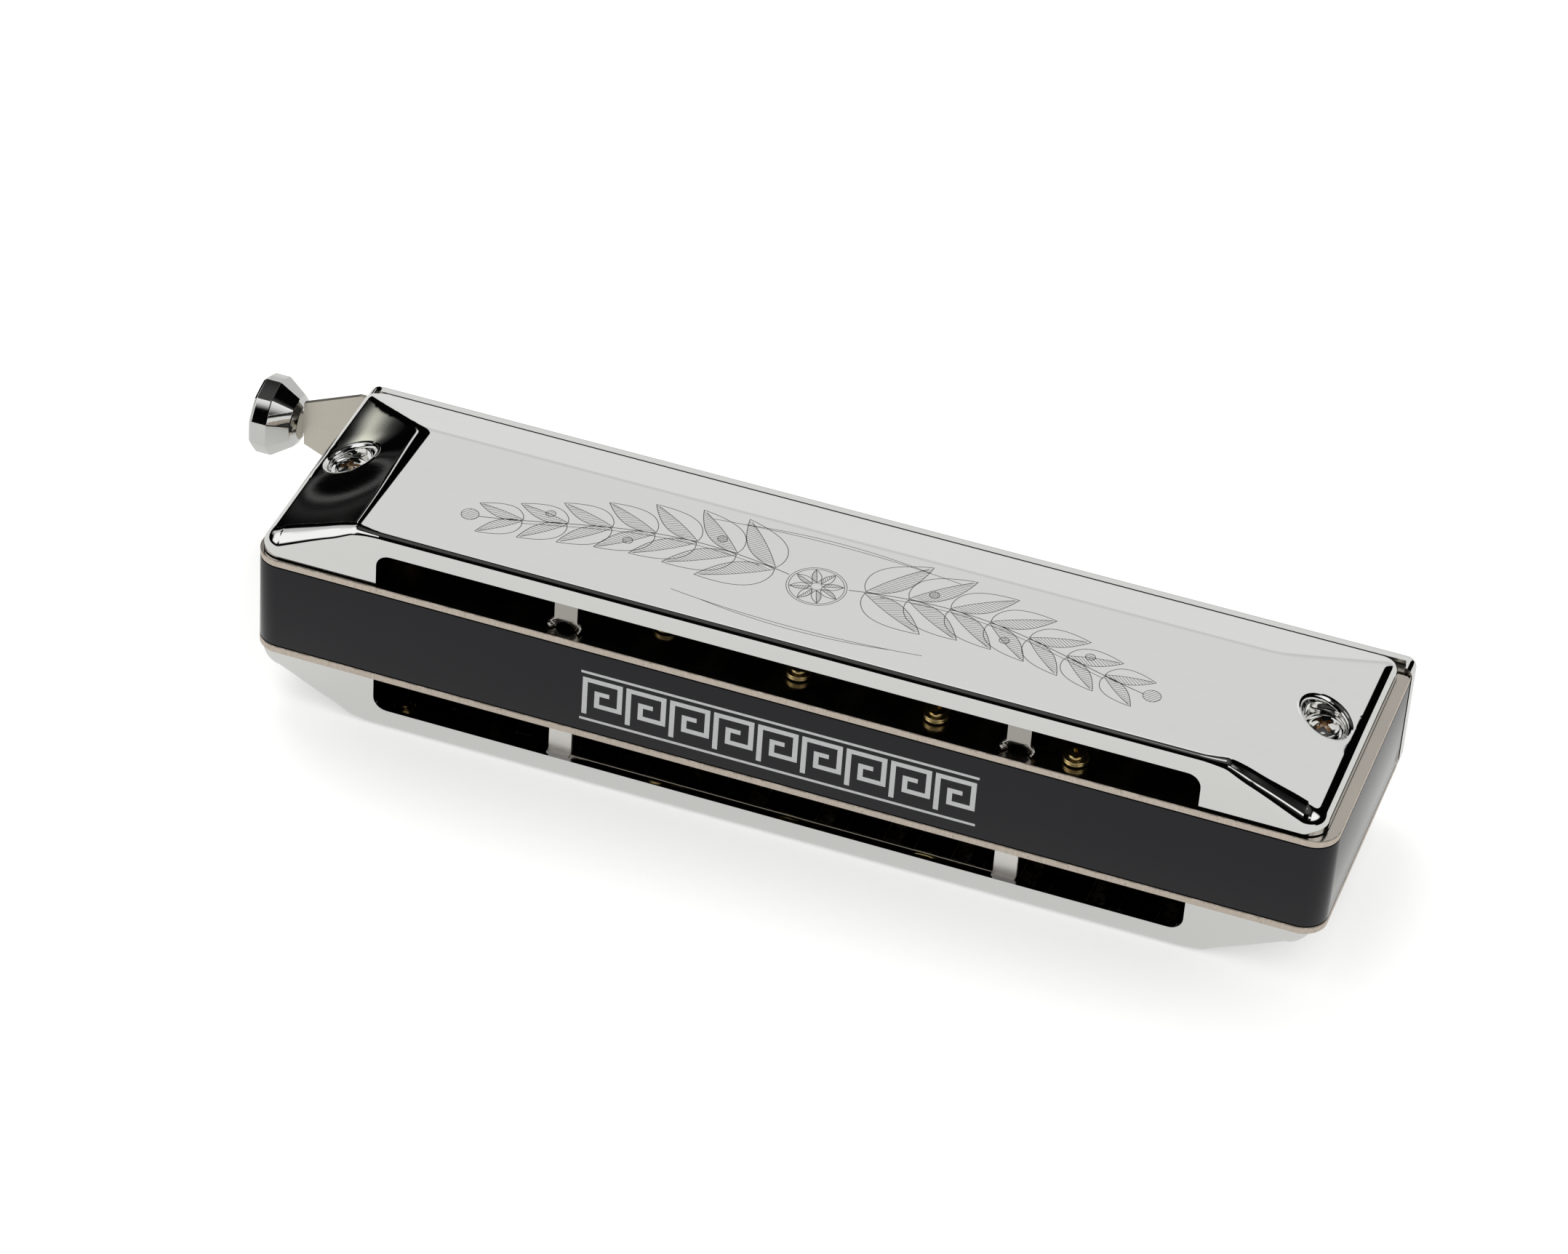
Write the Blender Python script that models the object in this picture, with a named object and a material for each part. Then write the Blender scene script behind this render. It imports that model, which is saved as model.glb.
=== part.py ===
"""Chromatic harmonica: comb, two reed plates, two stamped covers and a button-operated slide.

Everything hangs on one empty whose origin is the middle of the comb's rear edge line, half way
up the comb: +X runs along the comb away from the button, +Y towards the mouthpiece, +Z upwards.
The empty stands so that the bottom cover's flat panel lies at z = 0, with its centre at the origin.
"""

import itertools
import math

import bmesh
import bpy
import numpy as np
from mathutils import Matrix, Vector

# Running and seating clearances
SEAT = 0.0002
HOLE_CLEARANCE = 0.0003
OVERCUT = 0.0010

# Comb
END_BLOCK = 0.01542
COMB_DEPTH = 0.0352
COMB_HEIGHT = 0.01205
COMB_CORNER = 0.0032
MID_WALL = 0.0012
HOLE_COUNT = 12
HOLE_PITCH = 0.00893
HOLE_ROW_SHIFT = 0.0005
CELL_WALL = 0.00113
CELL_WEB = 0.0006
CELL_WEB_SETBACK = 0.0032
CELL_FRONT_WALL = 0.0016
WINDOW_WIDTH = 0.0040
WINDOW_LOW = 0.0007
WINDOW_HIGH = 0.0051

# Reed field: its rear end slants, because the low reeds are longer than the high ones
FIELD_REAR = 0.0073
LOW_FIELD_SLANT = math.tan(math.radians(3.15))
HIGH_FIELD_SLANT = math.tan(math.radians(7.4))
SLOT_WIDTH = 0.0023
SLOT_REAR_MARGIN = 0.0012
LONGEST_SLOT = 0.0175
SHORTEST_SLOT = 0.0105
REED_SIDE_GAP = 0.00015
REED_TIP_GAP = 0.0003
REED_THICKNESS = 0.00025
REED_SINK = 0.00005
PAD_WIDTH = 0.0028
PAD_LENGTH = 0.0030
RIVET_RADIUS = 0.0008
RIVET_RISE = 0.0006

# Reed plates
PLATE_THICKNESS = 0.00096
PLATE_FRONT_SETBACK = 0.0003
PLATE_FRONT_CORNER = 0.0006

# Bolts that clamp the plates to the comb
BOLT_SETBACK = 0.0024
BOLT_STEPS = 2
END_BOLT_INSET = 0.0120
END_BOLT_Y = 0.0228
END_BOLT_REAR_Y = 0.0060
BOLT_RADIUS = 0.0008
BOLT_FLANGE_RADIUS = 0.0016
BOLT_FLANGE = 0.00035
BOLT_HEAD_RADIUS = 0.00115
BOLT_HEAD = 0.0008
BOLT_SLOT_WIDTH = 0.0004
BOLT_SLOT_DEPTH = 0.0004
NUT_RADIUS = 0.0014
NUT_HEIGHT = 0.0009
BOLT_END = 0.0003

# Covers
SHEET = 0.0006
COVER_SHIFT = -0.0005
COVER_INSET = 0.00095
COVER_REAR = 0.0004
COVER_OVERHANG = 0.0013
COVER_RISE = 0.0074
COVER_REAR_CORNER = 0.0028
COVER_FRONT_CORNER = 0.0027
COVER_FILLET = 0.0008
END_LENGTH = 0.01275
NOSE_LENGTH = 0.0132
NOSE_FALL = math.tan(math.radians(26.57))
END_FALL = math.tan(math.radians(23.27))
CHEEK_LENGTH = 0.01705
CHEEK_DEPTH = 0.0019
CHEEK_END_RISE = 0.0016
OPENING_LEFT_INSET = 0.01575
OPENING_RIGHT_INSET = 0.01535
OPENING_RISE = 0.0046
OPENING_CORNER = 0.0018
HEM_RADIUS = 0.00045
HEM_INSET = 0.0001
TAB_PLACES = (-0.02845, 0.02934)
TAB_WIDTH = 0.0029
TAB_SPREAD = 0.0048
TAB_SETBACK = 0.0015
TAB_SHEET = 0.0005
ARCH_RADIUS = 0.0013

# Cover screws
COVER_SCREW_INSET = 0.00511
COVER_SCREW_SETBACK = 0.00067
SCREW_RADIUS = 0.0010
DISH_RADIUS = 0.0032
DISH_FLOOR_RADIUS = 0.0024
DISH_FLOOR = 0.0020
DISH_FILLET = 0.0010
SCREW_HEAD_RADIUS = 0.0020
SCREW_HEAD = 0.0009
CROSS_LENGTH = 0.0026
CROSS_WIDTH = 0.0007
CROSS_DEPTH = 0.0006
COVER_NUT_RADIUS = 0.0020
COVER_NUT_HEIGHT = 0.0012

# Slide works, stacked towards the player in front of the comb
BACK_PLATE = 0.0008
SLIDE_THICKNESS = 0.0006
SLIDE_SCREW_GAP = 0.0026
ARM_REACH = 0.0010
ARM_LENGTH = 0.0077
ARM_HALF_HEIGHT = 0.0032
TONGUE_LENGTH = 0.0030
TONGUE_HALF_HEIGHT = 0.0015
CAGE_CLEARANCE = 0.0002
CAGE_SHEET = 0.00035
CAGE_SINK = 0.00024
CAGE_FRONT = 0.0004
CAGE_INSET = 0.0008
MOUTH_SCREW_INSET = 0.0022
MOUTH_SCREW_RADIUS = 0.00085
MOUTH_SCREW_LENGTH = 0.0090
MOUTH_HEAD_RADIUS = 0.0017
MOUTH_HEAD = 0.0010

# Mouthpiece
MOUTH_SHEET = 0.00065
MOUTH_LIP_SHEET = 0.00055
MOUTH_END_WALL = 0.0007
MOUTH_CORNER = 0.0014
MOUTH_FILLET = 0.0008
MOUTH_END_SETBACK = 0.00038
LIP_DEPTH = 0.00155
LIP_END_MARGIN = 0.0003
RAIL_RISE = 0.0013
RAIL_HALF_HEIGHT = 0.0047
RAIL_OVERHANG = 0.0093
RAIL_FILLET = 0.0008
MOUTH_HOLE_RADIUS = 0.0031
MOUTH_HOLE_FLARE = 0.0006

# Button
BUTTON_SIDES = 10
BUTTON_PHASE = math.radians(1.5)
BUTTON_FACE_RADIUS = 0.0047
BUTTON_RIM_RADIUS = 0.0050
BUTTON_WAIST_RADIUS = 0.00345
BUTTON_NECK_RADIUS = 0.0023
BUTTON_EDGE = 0.0003
BUTTON_RIM = 0.0019
BUTTON_CONE = 0.0026
BUTTON_NECK = 0.0006

# Return spring, a hairpin of round wire on a pin in a pocket of the comb
WIRE_RADIUS = 0.0003
COIL_RADIUS = 0.0017
COIL_TURNS = 2
COIL_PITCH = 0.00075
SPRING_INSET = 0.0110
SPRING_SETBACK = 0.0059
POCKET_INSET = 0.0054
POCKET_LENGTH = 0.0094
POCKET_DEPTH = 0.0094
POCKET_HALF_HEIGHT = 0.0034
PIN_RADIUS = 0.0010

# Places that follow from the sizes above
TRAVEL = HOLE_PITCH / 2
COMB_LENGTH = HOLE_COUNT * HOLE_PITCH + 2 * END_BLOCK
CELL_PAIR_WIDTH = HOLE_PITCH - CELL_WALL
PLATE_INNER = COMB_HEIGHT / 2 + SEAT
PLATE_OUTER = PLATE_INNER + PLATE_THICKNESS
COVER_FOOT = PLATE_OUTER + SEAT
STACK_HALF_HEIGHT = COVER_FOOT + COVER_RISE
COVER_FRONT = COMB_DEPTH + COVER_OVERHANG
COVER_HALF_LENGTH = COMB_LENGTH / 2 - COVER_INSET
PANEL_FRONT = COVER_FRONT - NOSE_LENGTH
PANEL_HALF_LENGTH = COVER_HALF_LENGTH - END_LENGTH
CHEEK_START = COVER_HALF_LENGTH - CHEEK_LENGTH
OPENING_LEFT = COVER_SHIFT - COVER_HALF_LENGTH + OPENING_LEFT_INSET
OPENING_RIGHT = COVER_SHIFT + COVER_HALF_LENGTH - OPENING_RIGHT_INSET
COVER_SCREW_X = COVER_HALF_LENGTH - COVER_SCREW_INSET
COVER_SCREW_Y = (COVER_REAR + COVER_FRONT) / 2 - COVER_SCREW_SETBACK
REST_CENTRE_Y = (COVER_REAR + PANEL_FRONT) / 2
END_BOLT_X = COMB_LENGTH / 2 - END_BOLT_INSET
CELL_FRONT = COMB_DEPTH - CELL_FRONT_WALL
POCKET_LEFT = -COMB_LENGTH / 2 + POCKET_INSET
POCKET_RIGHT = POCKET_LEFT + POCKET_LENGTH
POCKET_REAR = COMB_DEPTH - POCKET_DEPTH
SPRING_X = -COMB_LENGTH / 2 + SPRING_INSET
SPRING_Y = COMB_DEPTH - SPRING_SETBACK
BACK_PLATE_Y = COMB_DEPTH + SEAT
SLIDE_Y = BACK_PLATE_Y + BACK_PLATE + SEAT
CAGE_Y = SLIDE_Y + SLIDE_THICKNESS + SEAT
MOUTH_INNER_Y = CAGE_Y + CAGE_FRONT + SEAT
MOUTH_FRONT_Y = MOUTH_INNER_Y + MOUTH_SHEET
CAGE_OUTER = COVER_FOOT - CAGE_SINK
CAGE_INNER = CAGE_OUTER - CAGE_SHEET
SLIDE_HALF_HEIGHT = CAGE_INNER - CAGE_CLEARANCE
MOUTH_INNER = CAGE_OUTER + SEAT
MOUTH_OUTER = MOUTH_INNER + MOUTH_LIP_SHEET
CAGE_HALF_LENGTH = COMB_LENGTH / 2 - CAGE_INSET
MOUTH_HALF_LENGTH = CAGE_HALF_LENGTH + SEAT + MOUTH_END_WALL
MOUTH_SCREW_X = CAGE_HALF_LENGTH - MOUTH_SCREW_INSET
SLIDE_RIGHT_END = MOUTH_SCREW_X - SLIDE_SCREW_GAP
ARM_SHOULDER = -COMB_LENGTH / 2 - ARM_REACH
ARM_END = ARM_SHOULDER - ARM_LENGTH
SCREW_HOLE = SCREW_RADIUS + HOLE_CLEARANCE
BOLT_HOLE = BOLT_RADIUS + HOLE_CLEARANCE
MOUTH_SCREW_HOLE = MOUTH_SCREW_RADIUS + HOLE_CLEARANCE

# Faces of the round pieces
SMALL_SIDES = 12
RIVET_SIDES = 8
DISH_SIDES = 20
HOLE_SIDES = 16
ARC_STEPS = 5
FILLET_STEPS = 3

for stale in list(bpy.data.objects):
    bpy.data.objects.remove(stale)


def make_material(name, colour, metallic, roughness):
    material = bpy.data.materials.new(name)
    material.use_nodes = True
    shader = material.node_tree.nodes["Principled BSDF"]
    shader.inputs["Base Color"].default_value = (*colour, 1.0)
    shader.inputs["Metallic"].default_value = metallic
    shader.inputs["Roughness"].default_value = roughness
    return material


CHROME = make_material("chrome", (0.83, 0.83, 0.82), 1.0, 0.08)
NICKEL = make_material("nickel_plate", (0.72, 0.66, 0.58), 1.0, 0.25)
BRASS = make_material("brass", (0.80, 0.62, 0.30), 1.0, 0.25)
STEEL = make_material("spring_steel", (0.55, 0.55, 0.56), 1.0, 0.30)
BLACK_PLASTIC = make_material("black_plastic", (0.03, 0.03, 0.035), 0.0, 0.25)

body_frame = bpy.data.objects.new("body_frame", None)
body_frame.location = (0.0, -REST_CENTRE_Y, STACK_HALF_HEIGHT)
bpy.context.collection.objects.link(body_frame)

slide_frame = bpy.data.objects.new("slide_frame", None)
slide_frame.parent = body_frame
bpy.context.collection.objects.link(slide_frame)


def add_object(name, bm, material=None, parent=body_frame):
    """One object from a bmesh, closed and facing outwards; without a material it is a hidden tool."""
    bmesh.ops.recalc_face_normals(bm, faces=bm.faces)
    mesh = bpy.data.meshes.new(name)
    bm.to_mesh(mesh)
    bm.free()
    item = bpy.data.objects.new(name, mesh)
    item.parent = parent
    bpy.context.collection.objects.link(item)
    if material:
        mesh.materials.append(material)
        mesh.shade_smooth()
        mesh.set_sharp_from_angle(angle=math.radians(32.0))
    else:
        item.hide_render = True
        item.display_type = "WIRE"
    return item


def boolean(item, tool, operation="DIFFERENCE"):
    modifier = item.modifiers.new(f"{operation.lower()}_{tool.name}", "BOOLEAN")
    modifier.operation = operation
    modifier.solver = "EXACT"
    modifier.object = tool


def placed(axis, u, v, w):
    """A point from two coordinates across an axis and one along it."""
    return {"X": (w, u, v), "Y": (u, w, v), "Z": (u, v, w)}[axis]


def prism(bm, outline, low, high, axis="Z"):
    """An outline carried straight along an axis and capped at both ends."""
    ends = [[bm.verts.new(placed(axis, u, v, w)) for u, v in outline] for w in (low, high)]
    for ring in ends:
        bm.faces.new(ring)
    for k in range(len(outline)):
        after = (k + 1) % len(outline)
        bm.faces.new((ends[0][k], ends[0][after], ends[1][after], ends[1][k]))


def turned(bm, profile, centre, axis="Z", sides=SMALL_SIDES, phase=0.0, ring=False):
    """A profile of (radius, height) turned about an axis; a ring closes on itself, others are capped."""
    angles = [phase + math.tau * k / sides for k in range(sides)]
    rings = [
        [
            bm.verts.new(placed(axis, centre[0] + r * math.sin(a), centre[1] + r * math.cos(a), h))
            for a in angles
        ]
        for r, h in profile
    ]
    pairs = list(zip(rings, rings[1:]))
    if ring:
        pairs.append((rings[-1], rings[0]))
    else:
        bm.faces.new(rings[0])
        bm.faces.new(rings[-1])
    for first, second in pairs:
        for k in range(sides):
            after = (k + 1) % sides
            bm.faces.new((first[k], first[after], second[after], second[k]))


def drilled(bm, places, radius, low, high, axis="Z", sides=SMALL_SIDES):
    for centre in places:
        turned(bm, [(radius, low), (radius, high)], centre, axis, sides)


def rectangle(u0, u1, v0, v1):
    return [(u0, v0), (u1, v0), (u1, v1), (u0, v1)]


def rounded(u0, u1, v0, v1, radii, steps=ARC_STEPS):
    """A rectangle with its own radius at each corner, in the order of rectangle()."""
    turns = (math.pi, 1.5 * math.pi, 0.0, 0.5 * math.pi)
    inward = ((1, 1), (-1, 1), (-1, -1), (1, -1))
    points = []
    for (u, v), (du, dv), start, r in zip(rectangle(u0, u1, v0, v1), inward, turns, radii):
        if r <= 0:
            points.append((u, v))
            continue
        for k in range(steps + 1):
            a = start + 0.5 * math.pi * k / steps
            points.append((u + r * du + r * math.cos(a), v + r * dv + r * math.sin(a)))
    return [p for k, p in enumerate(points) if math.dist(p, points[k - 1]) > SEAT / 100]


def hole_centres():
    middle = (HOLE_COUNT - 1) / 2
    return [HOLE_ROW_SHIFT + (k - middle) * HOLE_PITCH for k in range(HOLE_COUNT)]


def field_rear(x):
    """The rear end of the reed field: it draws in faster over the high half than over the low one."""
    slant = LOW_FIELD_SLANT if x > 0 else HIGH_FIELD_SLANT
    return FIELD_REAR - slant * x


def bolt_places():
    """A slanted rear row between the cell pairs, then the bolts beside the ends of the reed field."""
    reach = HOLE_COUNT // 2 // BOLT_STEPS
    row = [HOLE_ROW_SHIFT + k * BOLT_STEPS * HOLE_PITCH for k in range(-reach, reach)]
    places = [(x, field_rear(x) - BOLT_SETBACK) for x in row]
    beside = [(-END_BOLT_X, END_BOLT_Y), (END_BOLT_X, END_BOLT_Y), (END_BOLT_X, END_BOLT_REAR_Y)]
    return places + beside


def cover_screw_places():
    return [(COVER_SHIFT + side * COVER_SCREW_X, COVER_SCREW_Y) for side in (-1, 1)]


def mouth_screw_places():
    """In (x, z), because these screws lie along Y."""
    return [(-MOUTH_SCREW_X, 0.0), (MOUTH_SCREW_X, 0.0)]


def windows(bm, low, high, lower_shift=0.0):
    """The two rows of square wind ways, cut along Y; the lower row may be shifted sideways."""
    half = WINDOW_WIDTH / 2
    for x in hole_centres():
        prism(bm, rectangle(x - half, x + half, WINDOW_LOW, WINDOW_HIGH), low, high, "Y")
        x += lower_shift
        prism(bm, rectangle(x - half, x + half, -WINDOW_HIGH, -WINDOW_LOW), low, high, "Y")


def make_comb():
    half_length = COMB_LENGTH / 2
    half_height = COMB_HEIGHT / 2
    bm = bmesh.new()
    outline = rounded(
        -half_length, half_length, 0.0, COMB_DEPTH, (COMB_CORNER, COMB_CORNER, 0.0, 0.0)
    )
    prism(bm, outline, -half_height, half_height)
    comb = add_object("comb", bm, BLACK_PLASTIC)

    cells = bmesh.new()
    for x in hole_centres():
        half, web = CELL_PAIR_WIDTH / 2, CELL_WEB / 2
        outline = [(x + dx, field_rear(x + dx)) for dx in (-half, -web)]
        outline += [(x + dx, CELL_FRONT - CELL_WEB_SETBACK) for dx in (-web, web)]
        outline += [(x + dx, field_rear(x + dx)) for dx in (web, half)]
        outline += [(x + dx, CELL_FRONT) for dx in (half, -half)]
        prism(cells, outline, MID_WALL / 2, half_height + OVERCUT)
        prism(cells, outline, -half_height - OVERCUT, -MID_WALL / 2)
    through = half_height + OVERCUT
    drilled(cells, bolt_places(), BOLT_HOLE, -through, through)
    drilled(cells, cover_screw_places(), SCREW_HOLE, -through, through)
    boolean(comb, add_object("comb_cells", cells))

    front = bmesh.new()
    windows(front, CELL_FRONT - OVERCUT / 2, COMB_DEPTH + OVERCUT)
    screw_end = MOUTH_FRONT_Y - MOUTH_SCREW_LENGTH
    drilled(front, mouth_screw_places(), MOUTH_SCREW_HOLE, screw_end, COMB_DEPTH + OVERCUT, "Y")
    prism(
        front,
        rectangle(POCKET_LEFT, POCKET_RIGHT, POCKET_REAR, COMB_DEPTH + OVERCUT),
        -POCKET_HALF_HEIGHT,
        POCKET_HALF_HEIGHT,
    )
    boolean(comb, add_object("comb_front_openings", front))

    pin_hole = bmesh.new()
    drilled(pin_hole, [(SPRING_X, SPRING_Y)], PIN_RADIUS + SEAT, -through, through)
    boolean(comb, add_object("comb_pin_hole", pin_hole))


def slot_length(x):
    """Straight from the shortest slot above the last high cell to the longest above the lowest."""
    reach = HOLE_COUNT * HOLE_PITCH / 2
    share = (x - HOLE_ROW_SHIFT + reach) / (2 * reach)
    return SHORTEST_SLOT + (LONGEST_SLOT - SHORTEST_SLOT) * share


def reed_seats():
    """For each cell its middle x, the slot's rear and front ends, and whether its reed lies outside."""
    for x in hole_centres():
        for side in (-1, 1):
            cell_x = x + side * (CELL_PAIR_WIDTH + CELL_WEB) / 4
            rear = field_rear(cell_x) + SLOT_REAR_MARGIN
            if side < 0:
                rear += PAD_LENGTH
            yield cell_x, rear, rear + slot_length(cell_x), side > 0


def add_reed(bm, x, rear, front, outside, side):
    """A pad beside the slot and a tongue over it in one flat strip, with a rivet on the pad.

    Outer reeds are riveted at the front end of their slot and inner reeds at the rear end.
    """
    root, tip = (front, rear) if outside else (rear, front)
    towards_tip = 1.0 if tip > root else -1.0
    tongue = SLOT_WIDTH / 2 - REED_SIDE_GAP
    pad = PAD_WIDTH / 2
    pad_end = root - towards_tip * PAD_LENGTH
    tip_end = tip - towards_tip * REED_TIP_GAP
    outline = [
        (x - pad, pad_end),
        (x + pad, pad_end),
        (x + pad, root),
        (x + tongue, root),
        (x + tongue, tip_end),
        (x - tongue, tip_end),
        (x - tongue, root),
        (x - pad, root),
    ]
    surface = PLATE_OUTER if outside else PLATE_INNER
    outward = side if outside else -side
    base = side * surface - outward * REED_SINK
    prism(bm, outline, base, base + outward * REED_THICKNESS)


def add_rivet(bm, x, rear, front, outside, side):
    root = front if outside else rear
    towards_tip = -1.0 if outside else 1.0
    centre = (x, root - towards_tip * PAD_LENGTH / 2)
    surface = PLATE_OUTER if outside else PLATE_INNER
    outward = side if outside else -side
    profile = [
        (RIVET_RADIUS, side * surface),
        (RIVET_RADIUS * 0.7, side * surface + outward * RIVET_RISE),
    ]
    turned(bm, profile, centre, sides=RIVET_SIDES)


def make_reed_plate(name, side):
    """A polished plate with a slot under each reed and the reeds riveted to both of its faces."""
    half_length = COMB_LENGTH / 2
    bm = bmesh.new()
    corners = (COMB_CORNER, COMB_CORNER, PLATE_FRONT_CORNER, PLATE_FRONT_CORNER)
    outline = rounded(-half_length, half_length, 0.0, COMB_DEPTH - PLATE_FRONT_SETBACK, corners)
    prism(bm, outline, side * PLATE_INNER, side * PLATE_OUTER)
    plate = add_object(name, bm, NICKEL)

    slots = bmesh.new()
    low = side * (PLATE_INNER - OVERCUT)
    high = side * (PLATE_OUTER + OVERCUT)
    for x, rear, front, _ in reed_seats():
        prism(slots, rectangle(x - SLOT_WIDTH / 2, x + SLOT_WIDTH / 2, rear, front), low, high)
    drilled(slots, bolt_places(), BOLT_HOLE, low, high)
    drilled(slots, cover_screw_places(), SCREW_HOLE, low, high)
    boolean(plate, add_object(f"{name}_slots", slots))

    reeds, rivets = bmesh.new(), bmesh.new()
    for seat in reed_seats():
        add_reed(reeds, *seat, side)
        add_rivet(rivets, *seat, side)
    boolean(plate, add_object(f"{name}_reeds", reeds), "UNION")
    boolean(plate, add_object(f"{name}_rivets", rivets), "UNION")


def make_plate_bolts():
    """Slotted brass bolts that go down through both plates and the comb into round nuts."""
    head_low = PLATE_OUTER + SEAT
    flange_top = head_low + BOLT_FLANGE
    head_top = flange_top + BOLT_HEAD
    nut_top = -PLATE_OUTER - SEAT
    nut_low = nut_top - NUT_HEIGHT
    for number, centre in enumerate(bolt_places(), start=1):
        bm = bmesh.new()
        profile = [
            (BOLT_RADIUS, nut_low - BOLT_END),
            (BOLT_RADIUS, head_low),
            (BOLT_FLANGE_RADIUS, head_low),
            (BOLT_FLANGE_RADIUS, flange_top),
            (BOLT_HEAD_RADIUS, flange_top),
            (BOLT_HEAD_RADIUS, head_top - BOLT_HEAD_RADIUS * 0.3),
            (BOLT_HEAD_RADIUS * 0.7, head_top),
        ]
        turned(bm, profile, centre)
        bolt = add_object(f"plate_bolt_{number}", bm, BRASS)
        slot = bmesh.new()
        x, y = centre
        half = BOLT_SLOT_WIDTH / 2
        across = rectangle(x - BOLT_FLANGE_RADIUS, x + BOLT_FLANGE_RADIUS, y - half, y + half)
        prism(slot, across, head_top - BOLT_SLOT_DEPTH, head_top + OVERCUT)
        boolean(bolt, add_object(f"plate_bolt_slot_{number}", slot))

        bm = bmesh.new()
        inner = BOLT_RADIUS + HOLE_CLEARANCE / 2
        profile = [
            (inner, nut_low),
            (NUT_RADIUS, nut_low),
            (NUT_RADIUS, nut_top),
            (inner, nut_top),
        ]
        turned(bm, profile, centre, ring=True)
        add_object(f"plate_nut_{number}", bm, BRASS)


def cover_faces():
    """The faces that make a cover's top, each as its fall along x and y from a point at full rise."""
    drop = COVER_RISE - CHEEK_END_RISE
    cheek_fall = drop / (COVER_HALF_LENGTH - CHEEK_START)
    cheek_lean = cheek_fall * (PANEL_HALF_LENGTH - CHEEK_START) / (CHEEK_DEPTH - COVER_REAR)
    panel = (0.0, 0.0, 0.0, 0.0)
    nose = (0.0, NOSE_FALL, 0.0, PANEL_FRONT)
    ends = [(side * END_FALL, 0.0, side * PANEL_HALF_LENGTH, 0.0) for side in (-1, 1)]
    cheeks = [
        (side * cheek_fall, -cheek_lean, side * CHEEK_START, COVER_REAR) for side in (-1, 1)
    ]
    return [panel, nose, *ends, *cheeks]


def face_height(face, x, y):
    """Height of a face moved inwards by the fillet radius, at a point in plan."""
    fall_x, fall_y, start_x, start_y = face
    steepness = math.sqrt(1.0 + fall_x**2 + fall_y**2)
    sunk = COVER_FILLET * steepness
    return COVER_RISE - fall_x * (x - start_x) - fall_y * (y - start_y) - sunk


def face_normal(face):
    return Vector((face[0], face[1], 1.0)).normalized()


def crossings(faces, start, end):
    """Shares of the way from start to end at which the lowest face changes."""
    shares = []
    for first, second in itertools.combinations(faces, 2):
        before = face_height(first, *start) - face_height(second, *start)
        after = face_height(first, *end) - face_height(second, *end)
        if before * after >= 0:
            continue
        share = before / (before - after)
        x, y = Vector(start).lerp(Vector(end), share)
        lowest = min(face_height(face, x, y) for face in faces)
        if face_height(first, x, y) < lowest + SEAT / 100:
            shares.append(share)
    return sorted(shares)


def meeting_point(faces):
    """Where three faces of the top meet, in plan."""
    rows = [(1.0, fall_x, fall_y) for fall_x, fall_y, _, _ in faces]
    return np.linalg.solve(rows, [face_height(face, 0.0, 0.0) for face in faces])[1:]


def cover_core():
    """The corners of the cover's sharp core, each with the directions that its faces look in.

    The finished form is this core with a ball of the fillet radius rolled round it.
    """
    faces = cover_faces()
    radii = (COVER_REAR_CORNER, COVER_REAR_CORNER, COVER_FRONT_CORNER, COVER_FRONT_CORNER)
    half = COVER_HALF_LENGTH
    outer = rounded(-half, half, COVER_REAR, COVER_FRONT, radii)
    r = COVER_FILLET
    small = [radius - r for radius in radii]
    inner = rounded(-half + r, half - r, COVER_REAR + r, COVER_FRONT - r, small)
    corners = []
    for k, start in enumerate(inner):
        end = inner[(k + 1) % len(inner)]
        for share in [0.0, *crossings(faces, start, end)]:
            place = Vector(start).lerp(Vector(end), share)
            rim = Vector(outer[k]).lerp(Vector(outer[(k + 1) % len(outer)]), share)
            corners.append((place, (rim - place).normalized()))
    panel, nose, left_end, right_end, left_cheek, right_cheek = faces
    creases = [(panel, nose, left_end), (panel, nose, right_end)]
    creases += [(panel, left_end, left_cheek), (panel, right_end, right_cheek)]
    corners += [(Vector(meeting_point(crease)), None) for crease in creases]
    for place, wall in corners:
        heights = [face_height(face, *place) for face in faces]
        height = min(heights)
        looks = [face_normal(face) for face, h in zip(faces, heights) if h < height + SEAT / 100]
        if wall:
            looks.append(wall.to_3d())
        yield place, height, wall, looks


def cover_form(radius, foot):
    """The stamped form as a convex solid whose upper edges are rounded and whose foot is sharp.

    A level panel, a nose that falls to the front, a slope that falls to each end, a cheek that
    takes off each rear corner, and upright walls all round.
    """
    places = set()
    for place, height, wall, looks in cover_core():
        if wall:
            places.add((*(place + radius * wall), foot))
        for first, second in itertools.combinations(looks, 2):
            for k in range(FILLET_STEPS + 1):
                look = first.lerp(second, k / FILLET_STEPS).normalized()
                places.add(tuple(Vector((*place, height)) + radius * look))
    bm = bmesh.new()
    for place in sorted(places):
        bm.verts.new(place)
    bmesh.ops.remove_doubles(bm, verts=bm.verts[:], dist=SEAT / 20)
    bmesh.ops.convex_hull(bm, input=bm.verts[:])
    bmesh.ops.delete(bm, geom=[v for v in bm.verts if not v.link_faces], context="VERTS")
    bmesh.ops.dissolve_limit(
        bm, angle_limit=math.radians(0.5), verts=bm.verts[:], edges=bm.edges[:]
    )
    bmesh.ops.translate(bm, verts=bm.verts[:], vec=(COVER_SHIFT, 0.0, 0.0))
    return bm


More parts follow.
